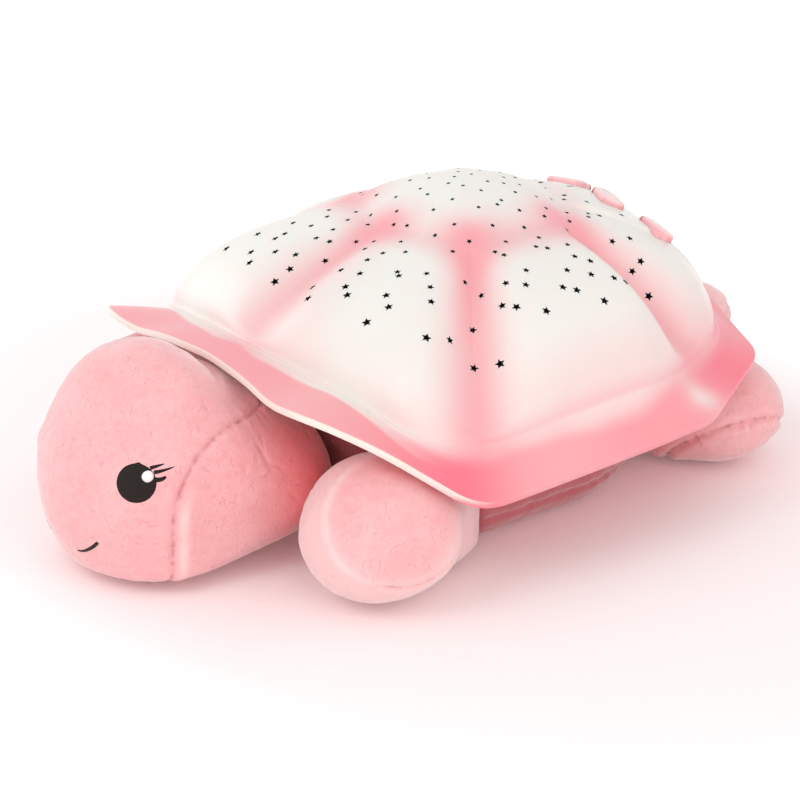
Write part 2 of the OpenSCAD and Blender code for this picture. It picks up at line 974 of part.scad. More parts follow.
module front_left_flipper() {
    color(plush_pink) flipper(front_pad, front_root, front_root_r, front_root_z);
}
module front_right_flipper() {
    color(plush_pink) mirror([1, 0, 0]) flipper(front_pad, front_root, front_root_r, front_root_z);
}
module rear_left_flipper() {
    color(plush_pink) flipper(rear_pad, rear_root, rear_root_r, rear_root_z);
}
module rear_right_flipper() {
    color(plush_pink) mirror([1, 0, 0]) flipper(rear_pad, rear_root, rear_root_r, rear_root_z);
}

// ---- Face ----
module on_eye() {
    stand(eye_at, unit(eye_facing))
        children();
}

module eye() {
    on_eye()
        translate([0, 0, -1.6])
            cylinder(h = 2.2, r = eye_r);
}

module left_eye() { color("black") in_place() eye(); }
module right_eye() { color("black") in_place() mirror([1, 0, 0]) eye(); }

module eye_glints() {
    color("white")
        in_place()
            both_sides()
                on_eye()
                    translate([glint_at[0], glint_at[1], 0.6])
                        cylinder(h = 0.4, r = glint_r);
}

module eyelashes() {
    color("black")
        in_place()
            both_sides()
                for (lash = lashes)
                    tube(lash, lash_r, 6);
}

module mouth() {
    color("black")
        in_place()
            both_sides()
                tube(smile, smile_r, 6);
}

shell_dome();
shell_base();
base_screws();
power_button();
timer_button();
left_colour_button();
right_colour_button();
tact_switches();
switch_boards();
switch_screws();
main_board();
board_components();
board_screws();
lamp_post();
led_board();
amber_led();
green_led();
blue_led();
battery_cells();
contact_springs();
contact_plates();
battery_leads();
lamp_leads();
switch_leads();
battery_door();
front_door_screw();
rear_door_screw();
belly_cushion();
belly_binding();
head();
tail();
front_left_flipper();
front_right_flipper();
rear_left_flipper();
rear_right_flipper();
left_eye();
right_eye();
eye_glints();
eyelashes();
mouth();
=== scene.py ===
"""Dresses the plush turtle night light: its sprayed star shell, its velour body and its stitched face."""

import logging
import math
from dataclasses import dataclass, field
from enum import Enum
from typing import Any, Callable, Optional, Sequence

import bpy
import numpy as np
from mathutils import Matrix, Vector, noise
from mathutils.bvhtree import BVHTree


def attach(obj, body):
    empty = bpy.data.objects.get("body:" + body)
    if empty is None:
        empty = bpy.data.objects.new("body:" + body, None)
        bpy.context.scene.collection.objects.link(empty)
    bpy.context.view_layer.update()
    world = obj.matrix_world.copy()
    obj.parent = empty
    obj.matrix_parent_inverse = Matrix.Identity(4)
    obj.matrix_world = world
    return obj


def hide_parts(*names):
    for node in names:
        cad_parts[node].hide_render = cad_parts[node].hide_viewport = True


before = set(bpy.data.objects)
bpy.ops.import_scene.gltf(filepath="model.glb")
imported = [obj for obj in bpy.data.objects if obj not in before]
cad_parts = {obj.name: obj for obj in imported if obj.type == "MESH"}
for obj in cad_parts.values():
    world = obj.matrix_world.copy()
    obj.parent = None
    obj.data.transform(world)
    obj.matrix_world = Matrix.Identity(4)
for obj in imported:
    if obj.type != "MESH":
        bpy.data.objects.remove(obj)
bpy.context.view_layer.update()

MM = 0.001
SHELL_Y = 27.0
ROOT = "root"

logging.basicConfig(level=logging.INFO, format="%(message)s")
log = logging.getLogger("turtle")

Points = np.ndarray
Colour = tuple[float, float, float]
Piece = bpy.types.Object
Material = bpy.types.Material
Rule = Callable[[Points], Points]
Place = tuple[float, float, float]
Table = tuple[Sequence[float], Sequence[float]]


# ---- Modelling bench -------------------------------------------------------


def pick(*pieces: Piece) -> None:
    """Selects only these pieces, in object mode, and makes the first one active.

    Args:
        pieces: The objects that the next operator acts on.
    """
    if bpy.context.object and bpy.context.object.mode != "OBJECT":
        bpy.ops.object.mode_set(mode="OBJECT")
    bpy.ops.object.select_all(action="DESELECT")
    for piece in pieces:
        piece.select_set(True)
    bpy.context.view_layer.objects.active = pieces[0]


def add_to_scene(thing: Piece) -> Piece:
    """Puts a new object into the scene and returns it."""
    bpy.context.scene.collection.objects.link(thing)
    return thing


def made(name: str) -> Piece:
    """Names the piece that an operator has just made, and returns it."""
    bpy.context.object.name = bpy.context.object.data.name = name
    return bpy.context.object


def joined(name: str, parts: Sequence[Piece]) -> Piece:
    """Joins some pieces into the first of them.

    Args:
        name: The joined piece's name.
        parts: The pieces.

    Returns:
        The joined piece.
    """
    pick(*parts)
    if len(parts) > 1:
        bpy.ops.object.join()
    return made(name)


def read(values: Any, field_name: str) -> Points:
    """Returns the vectors that a mesh keeps, as an array of n rows.

    Args:
        values: The mesh's own list, such as its vertices.
        field_name: What is read of each.

    Returns:
        Three numbers for each.
    """
    flat = np.zeros(len(values) * 3)
    values.foreach_get(field_name, flat)
    return flat.reshape(-1, 3)


def points_of(piece: Piece) -> Points:
    """Returns the piece's vertices as an array of n rows."""
    return read(piece.data.vertices, "co")


def normals_of(piece: Piece) -> Points:
    """Returns the outward normal at every vertex of a piece."""
    return read(piece.data.vertex_normals, "vector")


def move_points(piece: Piece, points: Points) -> None:
    """Moves every vertex of a piece to its row of points."""
    piece.data.vertices.foreach_set("co", points.astype(np.float32).ravel())
    piece.data.update()


def surface_of(piece: Piece) -> BVHTree:
    """Returns the piece's surface, for finding the nearest place on it."""
    corners = [tuple(p.vertices) for p in piece.data.polygons]
    return BVHTree.FromPolygons([v.co.copy() for v in piece.data.vertices], corners)


def paint(piece: Piece, name: str, values: Points) -> None:
    """Stores one number per vertex on a piece, for its finish to read.

    Args:
        piece: The piece.
        name: The attribute's name.
        values: One number for each vertex.
    """
    attribute = piece.data.attributes.get(name) or piece.data.attributes.new(name, "FLOAT", "POINT")
    attribute.data.foreach_set("value", np.asarray(values, np.float32))


def modify(piece: Piece, kind: str, **settings: Any) -> None:
    """Adds a modifier to a piece, sets it and applies it.

    Args:
        piece: The piece.
        kind: The modifier's type.
        settings: The modifier's settings by name.
    """
    pick(piece)
    modifier = piece.modifiers.new(kind.title(), kind)
    for key, value in settings.items():
        setattr(modifier, key, value)
    bpy.ops.object.modifier_apply(modifier=modifier.name)


def carve(piece: Piece, cutter: Piece) -> None:
    """Cuts one piece out of another and removes it."""
    modify(piece, "BOOLEAN", object=cutter, operation="DIFFERENCE", solver="EXACT")
    bpy.data.objects.remove(cutter)


def edit(piece: Piece, *steps: Callable[[], Any]) -> None:
    """Runs edit-mode operators on the whole of a piece.

    Args:
        piece: The piece.
        steps: The operators, in order.
    """
    pick(piece)
    bpy.ops.object.mode_set(mode="EDIT")
    bpy.ops.mesh.select_all(action="SELECT")
    for step in steps:
        step()
    bpy.ops.object.mode_set(mode="OBJECT")


def edit_where(piece: Piece, kind: str, test: Callable[[Any], bool], *steps: Callable[[], Any]) -> None:
    """Runs edit-mode operators on the faces or edges of a piece that pass a test.

    Args:
        piece: The piece.
        kind: "FACE" or "EDGE".
        test: Says whether a face or an edge is taken.
        steps: The operators, in order.
    """
    pick(piece)
    bpy.ops.object.mode_set(mode="EDIT")
    bpy.ops.mesh.select_mode(type=kind)
    bpy.ops.mesh.select_all(action="DESELECT")
    bpy.ops.object.mode_set(mode="OBJECT")
    for part in piece.data.edges if kind == "EDGE" else piece.data.polygons:
        part.select = test(part)
    bpy.ops.object.mode_set(mode="EDIT")
    for step in steps:
        step()
    bpy.ops.object.mode_set(mode="OBJECT")


def face_outwards() -> None:
    """Turns the selected faces outwards, in edit mode."""
    bpy.ops.mesh.normals_make_consistent(inside=False)


def smooth(piece: Piece, degrees: float = 180.0) -> None:
    """Shades a piece smooth, but for edges sharper than an angle.

    Args:
        piece: The piece.
        degrees: The angle; 180 leaves no edge sharp.
    """
    pick(piece)
    if degrees == 180.0:
        bpy.ops.object.shade_smooth()
    else:
        bpy.ops.object.shade_smooth_by_angle(angle=math.radians(degrees))


def hand_over(piece: Piece, finish: Optional[Material], node: str, body: str) -> Piece:
    """Gives a piece its finish, and says what it stands for and what it rides on.

    Args:
        piece: The piece.
        finish: Its only finish, or None where it has its finishes already.
        node: The CAD node that it stands for.
        body: The body that it rides on.

    Returns:
        The piece.
    """
    if finish:
        piece.data.materials.clear()
        piece.data.materials.append(finish)
    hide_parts(node)
    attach(piece, body)
    log.info("%s: %d faces", piece.name, len(piece.data.polygons))
    return piece


def copy_of_node(node: str, name: str) -> Piece:
    """Copies a CAD node into a new piece with merged vertices.

    Args:
        node: The CAD node.
        name: The new piece's name.

    Returns:
        The new piece, on no body yet.
    """
    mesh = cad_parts[node].data.copy()
    mesh.name = name
    mesh.materials.clear()
    piece = add_to_scene(bpy.data.objects.new(name, mesh))
    edit(piece, lambda: bpy.ops.mesh.remove_doubles(threshold=0.00002))
    return piece


def stand(place: Sequence[float], normal: Sequence[float]) -> Matrix:
    """Returns the matrix that stands a shape at a place with its z axis along a normal.

    Args:
        place: Where its origin goes.
        normal: The normal.

    Returns:
        The matrix.
    """
    n = Vector(normal).normalized()
    turn = Matrix.Rotation(math.atan2(n.y, n.x), 4, "Z") @ Matrix.Rotation(math.acos(n.z), 4, "Y")
    return Matrix.Translation(Vector(place)) @ turn


def lifted(z: float, size: Sequence[float] = (1, 1, 1)) -> Matrix:
    """Returns the matrix that scales a shape and then lifts it."""
    return Matrix.Translation((0, 0, z)) @ Matrix.Diagonal((*size, 1))


def settle(piece: Piece, matrix: Matrix = Matrix.Identity(4)) -> None:
    """Puts a matrix into a piece's mesh, so that its object stays at the origin.

    Args:
        piece: The piece.
        matrix: Applied after the object's own matrix.
    """
    piece.data.transform(matrix @ piece.matrix_world)
    piece.matrix_world = Matrix.Identity(4)
    piece.data.update()


def cylinder(sides: int, radius: float, depth: float, place: Sequence[float]) -> Piece:
    """Models an upright cylinder round a place.

    Args:
        sides: How many sides it has.
        radius: Its radius.
        depth: Its height.
        place: Its middle.

    Returns:
        The cylinder.
    """
    bpy.ops.mesh.primitive_cylinder_add(vertices=sides, radius=radius, depth=depth, location=place)
    settle(bpy.context.object)
    return bpy.context.object


def slab(name: str, width: float, length: float, corner: float) -> Piece:
    """Models a slab one unit high with rounded upright corners, standing on z = 0.

    Args:
        name: Its name.
        width: Its size along x.
        length: Its size along y.
        corner: The radius of its corners.

    Returns:
        The slab.
    """
    bpy.ops.mesh.primitive_cube_add(size=1.0, location=(0, 0, 0.5))
    piece = made(name)
    settle(piece, lifted(0, (width, length, 1)))

    def upright(edge: bpy.types.MeshEdge) -> bool:
        """Says whether an edge stands upright."""
        a, b = (piece.data.vertices[v].co for v in edge.vertices)
        return abs(a.z - b.z) > 0.5

    edit_where(piece, "EDGE", upright, lambda: bpy.ops.mesh.bevel(offset=corner, segments=8, affect="EDGES"))
    return piece


def step01(x: Points) -> Points:
    """Returns a smooth step from 0 to 1 as x goes from 0 to 1."""
    t = np.clip(x, 0.0, 1.0)
    return t * t * (3.0 - 2.0 * t)


def bump_at(x: Points, width: float) -> Points:
    """Returns a bell curve of x, 1 at zero, with the given half width."""
    return np.exp(-((x / width) ** 2))


def waves(points: Points, length: float, seed: float) -> Points:
    """Returns smooth noise from about -1 to 1 at points in metres, with waves of a length."""
    shift = Vector((seed, -0.7 * seed, 1.3 * seed))
    return np.array([noise.noise(Vector(p) / length + shift) for p in points])


def climb(axis: int, start: float, run: float, share: float = 1.0) -> Rule:
    """Returns a rule that climbs from 0 to a share as a coordinate goes from a start over a run."""
    return lambda points: share * step01((points[:, axis] - start) / run)


def away_from(place: Sequence[float], start: float, run: float, share: float) -> Rule:
    """Returns a rule that climbs from 0 to a share as the distance from a place does so."""
    return lambda points: share * step01((np.linalg.norm(points - np.array(place), axis=1) - start) / run)


def product(*rules: Rule) -> Rule:
    """Returns the product of some rules."""
    return lambda points: np.prod([rule(points) for rule in rules], axis=0)


# ---- Shader graph ----------------------------------------------------------


class Socket:
    """One output socket that takes part in Python arithmetic."""

    def __init__(self, graph: "Graph", socket: bpy.types.NodeSocket) -> None:
        """Wraps a socket of a graph."""
        self.graph = graph
        self.socket = socket

    def _maths(self, operation: str, a: Any, b: Any) -> "Socket":
        """Adds one Math node of two values and returns its result."""
        return self.graph.add("ShaderNodeMath", {"operation": operation}, {0: a, 1: b})

    def __add__(self, other: Any) -> "Socket":
        """Returns self + other."""
        return self._maths("ADD", self, other)

    __radd__ = __add__

    def __mul__(self, other: Any) -> "Socket":
        """Returns self * other."""
        return self._maths("MULTIPLY", self, other)

    __rmul__ = __mul__

    def __sub__(self, other: Any) -> "Socket":
        """Returns self - other."""
        return self._maths("SUBTRACT", self, other)

    def __rsub__(self, other: Any) -> "Socket":
        """Returns other - self."""
        return self._maths("SUBTRACT", other, self)

    def at_least(self, other: Any) -> "Socket":
        """Returns the larger of self and other."""
        return self._maths("MAXIMUM", self, other)

    def at_most(self, other: Any) -> "Socket":
        """Returns the smaller of self and other."""
        return self._maths("MINIMUM", self, other)


class Graph:
    """The node tree of one material or world, and the one way to add nodes to it."""

    def __init__(self, name: str, world: bool = False) -> None:
        """Starts an empty tree.

        Args:
            name: The name of the material or world.
            world: Makes a world in place of a material.
        """
        self.owner = (bpy.data.worlds if world else bpy.data.materials).new(name)
        self.owner.use_nodes = True
        self.tree = self.owner.node_tree
        self.tree.nodes.clear()
        self.output = self.tree.nodes.new("ShaderNodeOutputWorld" if world else "ShaderNodeOutputMaterial")

    def add(
        self, kind: str, settings: Optional[dict[str, Any]] = None,
        inputs: Optional[dict[Any, Any]] = None, result: Any = 0,
    ) -> Socket:
        """Adds a node, sets it, feeds its sockets and returns one of its outputs.

        Args:
            kind: The node's type.
            settings: The node's own settings; "stops" are a ramp's positions and colours.
            inputs: A value or a socket for each input, by name or index.
            result: The output's name or index.

        Returns:
            The wanted output.
        """
        node = self.tree.nodes.new(kind)
        for key, value in (settings or {}).items():
            if key == "stops":
                self._set_ramp(node, value)
            else:
                setattr(node, key, value)
        for key, value in (inputs or {}).items():
            if isinstance(value, Socket):
                self.tree.links.new(value.socket, node.inputs[key])
            else:
                node.inputs[key].default_value = value
        return Socket(self, node.outputs[result])

    @staticmethod
    def _set_ramp(node: bpy.types.Node, stops: Sequence[tuple[float, Any]]) -> None:
        """Sets a colour ramp's stops.

        Args:
            node: The ramp.
            stops: Positions from 0 to 1, each with a colour or a grey level.
        """
        ramp = node.color_ramp
        while len(ramp.elements) < len(stops):
            ramp.elements.new(0.5)
        for element, (position, colour) in zip(ramp.elements, stops):
            element.position = position
            element.color = (*colour, 1.0) if isinstance(colour, tuple) else (colour, colour, colour, 1.0)

    def place(self, stretch: Sequence[float] = ()) -> Socket:
        """Returns the Object coordinates, stretched along their axes if that is asked for.

        Args:
            stretch: How far a pattern is stretched along x, y and z.

        Returns:
            The coordinates.
        """
        plain = self.add("ShaderNodeTexCoord", result="Object")
        if not stretch:
            return plain
        return self.add("ShaderNodeMapping", {"vector_type": "TEXTURE"}, {"Vector": plain, "Scale": stretch})

    def attribute(self, name: str) -> Socket:
        """Returns a number that the mesh stores at every vertex."""
        return self.add("ShaderNodeAttribute", {"attribute_name": name}, result="Fac")

    def noise(self, scale: float, detail: float, rough: float, stretch: Sequence[float] = ()) -> Socket:
        """Returns soft noise with that many waves per metre."""
        inputs = {"Vector": self.place(stretch), "Scale": scale, "Detail": detail, "Roughness": rough}
        return self.add("ShaderNodeTexNoise", None, inputs)

    def stripes(self, scale: float, settings: dict[str, str], **fixed: float) -> Socket:
        """Returns parallel bands, from 0 to 1.

        Args:
            scale: How close the bands lie.
            settings: The node's own settings.
            fixed: Constants for its other inputs, with _ for a space.

        Returns:
            The bands.
        """
        inputs = {"Vector": self.place(), "Scale": scale}
        inputs.update({key.replace("_", " "): value for key, value in fixed.items()})
        return self.add("ShaderNodeTexWave", {"wave_type": "BANDS", **settings}, inputs, "Fac")

    def blend(self, factor: Any, a: Any, b: Any) -> Socket:
        """Returns a colour between a and b."""
        a, b = [(*c, 1.0) if isinstance(c, tuple) else c for c in (a, b)]
        return self.add("ShaderNodeMix", {"data_type": "RGBA"}, {0: factor, 6: a, 7: b}, 2)

    def ramp(self, value: Socket, stops: Sequence[tuple[float, Any]]) -> Socket:
        """Returns a ramp's colour at a value."""
        return self.add("ShaderNodeValToRGB", {"stops": stops}, {"Fac": value})

    def bump(self, height: Socket, strength: float, distance: float) -> Socket:
        """Returns the normal of a bumped surface, with distance in metres."""
        inputs = {"Height": height, "Strength": strength, "Distance": distance}
        return self.add("ShaderNodeBump", None, inputs)

    def close(self, shader: Socket) -> Any:
        """Ends the tree with a shader and returns its material or world."""
        self.tree.links.new(shader.socket, self.output.inputs["Surface"])
        return self.owner

    def finish(self, colour: Any, roughness: Any, normal: Optional[Socket] = None, **fixed: Any) -> Material:
        """Closes the tree with a Principled shader.

        Args:
            colour: The base colour's socket.
            roughness: The roughness, a value or a socket.
            normal: The bumped normal, if any.
            fixed: Constants for the shader's other sockets, with _ for a space.

        Returns:
            The finished material.
        """
        inputs = {"Base Color": colour, "Roughness": roughness}
        if normal:
            inputs["Normal"] = normal
        inputs.update({key.replace("_", " "): value for key, value in fixed.items()})
        return self.close(self.add("ShaderNodeBsdfPrincipled", None, inputs))


# ---- Finishes --------------------------------------------------------------


@dataclass(frozen=True)
class Velour:
    """Short-pile velour: paler patches, a fuzzy sheen, stitched seams, painted shade in folds and a painted
    highlight.
    """

    name: str
    pile: Colour = (0.93, 0.465, 0.475)
    brushed_and_lit: Colour = (0.96, 0.54, 0.545)
    shade: Colour = (0.86, 0.31, 0.345)
    # Painted shade: a deeper red laid where the cloth tucks into shadow.
    fold: Colour = (0.97, 0.185, 0.20)
    # Painted highlight: a pale pink laid where ridges and rims catch the light.
    painted_highlight: Colour = (0.985, 0.68, 0.665)
    thread: Colour = (0.56, 0.17, 0.20)

    def build(self) -> Material:
        """Builds the material.

        Returns:
            The material.
        """
        graph = Graph(self.name)
        patches = graph.noise(42.0, 4.0, 0.6)
        flecks = graph.noise(210.0, 3.0, 0.65, (1.0, 1.3, 0.8))
        fibres = graph.noise(1250.0, 2.0, 0.7, (1.0, 1.0, 1.8))
        contour = graph.noise(150.0, 2.0, 0.5, (0.8, 1.0, 1.5)) - 0.5
        creases = graph.ramp(contour.at_least(contour * -1.0), [(0.004, 1.0), (0.030, 0.0)])
        creases = creases * graph.ramp(flecks, [(0.53, 0.0), (0.60, 1.0)])
        nap = graph.ramp(patches * 0.6 + flecks * 0.4, [(0.40, 0.0), (0.62, 1.0)])
        colour = graph.blend(nap, self.pile, self.brushed_and_lit)
        colour = graph.blend(graph.ramp(flecks, [(0.30, 0.20), (0.43, 0.0)]), colour, self.shade)
        colour = graph.blend(graph.ramp(fibres, [(0.30, 0.30), (0.52, 0.0)]), colour, self.shade)
        # Painted shade: the little creases are darkened.
        colour = graph.blend(creases * 0.4, colour, self.shade)
        # Painted shade from the fold attribute, then a painted highlight from the highlight attribute.
        colour = graph.blend(graph.attribute("fold"), colour, self.fold)
        colour = graph.blend(graph.attribute("painted_highlight"), colour, self.painted_highlight)
        colour = graph.blend((graph.attribute("seam") * 0.8).at_most(0.85), colour, self.thread)
        height = fibres * 0.5 + flecks * 0.6 + patches * 0.5 - creases * 0.5
        return graph.finish(
            colour, 0.92, graph.bump(height, 0.5, 0.0010),
            Sheen_Weight=1.0, Sheen_Roughness=0.40, Sheen_Tint=(1.0, 0.93, 0.93, 1.0),
            Specular_IOR_Level=0.1,
        )


@dataclass(frozen=True)
class SprayedShell:
    """Satin moulding in cream, with pink sprayed into its valleys and over its brim."""

    cream: Colour = (0.885, 0.85, 0.80)
    bare: Colour = (0.93, 0.83, 0.76)
    pink: Colour = (0.94, 0.375, 0.41)
    deep: Colour = (0.95, 0.165, 0.24)

    def build(self) -> Material:
        """Builds the material.

        Returns:
            The material.
        """
        graph = Graph("sprayed_shell")
        mist = graph.noise(75.0, 4.0, 0.6)
        specks = graph.noise(900.0, 1.0, 0.5)
        cloud = graph.noise(16.0, 2.0, 0.5)
        spray = graph.attribute("pink") + (mist - 0.5) * 0.10 + (specks - 0.5) * 0.05
        spray = (spray * graph.attribute("pink").at_most(0.12) * 8.0).at_least(0.0).at_most(1.0)
        colour = graph.blend(cloud * 0.5, self.cream, tuple(0.965 * c for c in self.cream))
        # The pink attribute holds a painted highlight on the brim, and the deep attribute a painted shade
        # line along a groove.
        colour = graph.blend(spray, colour, self.pink)
        colour = graph.blend(graph.attribute("deep"), colour, self.deep)
        colour = graph.blend(graph.attribute("bare"), colour, self.bare)
        roughness = 0.30 + cloud * 0.10 + specks * 0.05
        return graph.finish(
            colour, roughness, graph.bump(specks * 0.6 + mist * 0.4, 0.12, 0.0004),
            Specular_IOR_Level=0.42, Coat_Weight=0.12, Coat_Roughness=0.22,
            Subsurface_Weight=0.30, Subsurface_Radius=(0.008, 0.0025, 0.0025), Subsurface_Scale=0.6,
        )


@dataclass(frozen=True)
class Moulded:
    """Moulded plastic with a fine spark texture and faint flow marks."""

    name: str
    colour: Colour
    roughness: float = 0.45
    grain: float = 1400.0
    depth: float = 0.00012

    def build(self) -> Material:
        """Builds the material.

        Returns:
            The material.
        """
        graph = Graph(self.name)
        grain = graph.noise(self.grain, 2.0, 0.6)
        flow = graph.noise(28.0, 2.0, 0.5)
        colour = graph.blend(flow * 0.6, self.colour, tuple(0.88 * c for c in self.colour))
        roughness = self.roughness - 0.06 + flow * 0.08 + grain * 0.06
        return graph.finish(colour, roughness, graph.bump(grain, 0.4, self.depth))


@dataclass(frozen=True)
class ButtonCap:
    """A soft pink cap, paler on its top where the spray is thin."""

    top: Colour = (0.94, 0.76, 0.74)
    side: Colour = (0.92, 0.46, 0.49)

    def build(self) -> Material:
        """Builds the material.

        Returns:
            The material.
        """
        graph = Graph("button_cap")
        mist = graph.noise(240.0, 3.0, 0.6)
        grain = graph.noise(1500.0, 1.0, 0.5)
        height = graph.attribute("rise") + (mist - 0.5) * 0.25
        colour = graph.blend(graph.ramp(height, [(0.25, 0.0), (0.85, 1.0)]), self.side, self.top)
        return graph.finish(
            colour, 0.34 + grain * 0.08, graph.bump(grain, 0.15, 0.0002), Coat_Weight=0.1, Coat_Roughness=0.25
        )


@dataclass(frozen=True)
class PlatedSteel:
    """Zinc-plated steel with turning marks."""

    name: str = "plated_steel"
    colour: Colour = (0.62, 0.63, 0.65)

    def build(self) -> Material:
        """Builds the material.

        Returns:
            The material.
        """
        graph = Graph(self.name)
        marks = graph.noise(900.0, 2.0, 0.5, (1.0, 1.0, 0.12))
        blotch = graph.noise(260.0, 2.0, 0.5)
        colour = graph.blend(blotch, self.colour, tuple(0.78 * c for c in self.colour))
        return graph.finish(colour, 0.24 + marks * 0.16, graph.bump(marks, 0.2, 0.00008), Metallic=1.0)


@dataclass(frozen=True)
class CircuitBoard:
    """Solder mask over faint tracks."""

    name: str
    mask: Colour
    track: Colour

    def build(self) -> Material:
        """Builds the material.

        Returns:
            The material.
        """
        graph = Graph(self.name)
        cells = graph.add(
            "ShaderNodeTexBrick", {"offset": 0.5},
            {"Vector": graph.place(), "Scale": 190.0, "Mortar Size": 0.06, "Color1": (0, 0, 0, 1),
             "Color2": (0, 0, 0, 1), "Mortar": (1, 1, 1, 1)}, "Fac",
        )
        weave = graph.noise(1600.0, 1.0, 0.5)
        colour = graph.blend(cells * 0.8, self.mask, self.track)
        return graph.finish(colour, 0.32 + weave * 0.1, graph.bump(cells, 0.25, 0.0001), Coat_Weight=0.2)


@dataclass(frozen=True)
class TintedLens:
    """Clear tinted epoxy over a lit die."""

    name: str
    colour: Colour

    def build(self) -> Material:
        """Builds the material.

        Returns:
            The material.
        """
        graph = Graph(self.name)
        swirl = graph.noise(700.0, 2.0, 0.5)
        colour = graph.blend(swirl * 0.5, self.colour, tuple(0.7 * c + 0.3 for c in self.colour))
        return graph.finish(
            colour, 0.06 + swirl * 0.04, Transmission_Weight=0.45, IOR=1.5, Coat_Weight=0.3
        )


@dataclass(frozen=True)
class CellJacket:
    """A plain two-colour cell jacket with a bright band."""

    dark: Colour = (0.06, 0.06, 0.07)
    light: Colour = (0.72, 0.44, 0.16)
    split: float = 0.046

    def build(self) -> Material:
        """Builds the material.

        Returns:
            The material.
        """
        graph = Graph("cell_jacket")
        along = graph.add("ShaderNodeSeparateXYZ", None, {"Vector": graph.place()}, "Y")
        band = graph.add("ShaderNodeMath", {"operation": "GREATER_THAN"}, {0: along, 1: self.split})
        scuff = graph.noise(500.0, 2.0, 0.6)
        colour = graph.blend(band, self.dark, self.light)
        return graph.finish(colour, 0.25 + scuff * 0.15, graph.bump(scuff, 0.1, 0.0001), Metallic=0.6)


@dataclass(frozen=True)
class Embroidery:
    """Satin-stitch thread: fine parallel strands with a soft lustre."""

    name: str
    colour: Colour
    sheen: Colour
    pitch: float = 2300.0

    def build(self) -> Material:
        """Builds the material.

        Returns:
            The material.
        """
        graph = Graph(self.name)
        way = {"bands_direction": "Z", "wave_profile": "SIN"}
        strands = graph.stripes(self.pitch / 6.28, way, Distortion=1.2, Detail=2.0, Detail_Scale=0.6)
        fuzz = graph.noise(1500.0, 2.0, 0.6)
        colour = graph.blend(strands * 0.7 * fuzz, self.colour, self.sheen)
        return graph.finish(
            colour, 0.42 + fuzz * 0.2, graph.bump(strands + fuzz * 0.4, 0.5, 0.00025),
            Sheen_Weight=0.10, Sheen_Roughness=0.4, Specular_IOR_Level=0.18,
        )


@dataclass(frozen=True)
class WovenTape:
    """Ribbed edging tape."""

    colour: Colour = (0.80, 0.32, 0.36)
    groove: Colour = (0.58, 0.16, 0.20)

    def build(self) -> Material:
        """Builds the material.

        Returns:
            The material.
        """
        graph = Graph("woven_tape")
        ribs = graph.stripes(260.0, {"bands_direction": "DIAGONAL"}, Distortion=0.4)
        fuzz = graph.noise(1100.0, 2.0, 0.6)
        # Painted shade: the tape is darker in the grooves between its ribs.
        colour = graph.blend(ribs * 0.7 + fuzz * 0.3, self.groove, self.colour)
        return graph.finish(
            colour, 0.8, graph.bump(ribs + fuzz * 0.5, 0.6, 0.0003), Sheen_Weight=0.3, Specular_IOR_Level=0.2
        )


# ---- Shell -----------------------------------------------------------------


@dataclass
class Outline:
    """One closed line around the shell: straight sides with softened corners, and a height."""

    corners: Sequence[tuple[float, float]]
    heights: Sequence[tuple[float, float]]
    reach: float
    height_reach: float

    @staticmethod
    def fold(angles: Points) -> Points:
        """Returns angles from the front, folded onto the left half."""
        turned = np.mod(angles, 360.0)
        return np.where(turned > 180.0, 360.0 - turned, turned)

    def _straight(self, angles: Points) -> Points:
        """Returns the unsoftened radius at folded angles.

        Args:
            angles: The angles, in degrees.

        Returns:
            The radii, in millimetres.
        """
        x, y = np.array(self.corners, float).T
        bearing, far = np.degrees(np.arctan2(x, -y)), np.hypot(x, y)
        i = np.clip(np.searchsorted(bearing, angles, side="right") - 1, 0, len(bearing) - 2)
        span, along = np.radians(bearing[i + 1] - bearing[i]), np.radians(angles - bearing[i])
        near, next_one = far[i], far[i + 1]
        return near * next_one * np.sin(span) / (near * np.sin(along) + next_one * np.sin(span - along))

    def _soften(self, rule: Rule, angles: Points, reach: float) -> Points:
        """Returns the mean of a rule over a reach either side of each angle."""
        return np.mean([rule(self.fold(angles + k * reach)) for k in np.linspace(-1.0, 1.0, 25)], axis=0)

    def radius(self, angles: Points) -> Points:
        """Returns the radius at angles in degrees from the front, in millimetres."""
        return self._soften(self._straight, angles, self.reach)

    def height(self, angles: Points) -> Points:
        """Returns the height at angles in degrees from the front, in millimetres."""
        at, z = np.array(self.heights, float).T
        return self._soften(lambda a: np.interp(a, at, z), angles, self.height_reach)


class Band(Enum):
    """The three bands of a section through the shell."""

    CROWN = "crown"
    PLATE = "plate"
    BRIM = "brim"


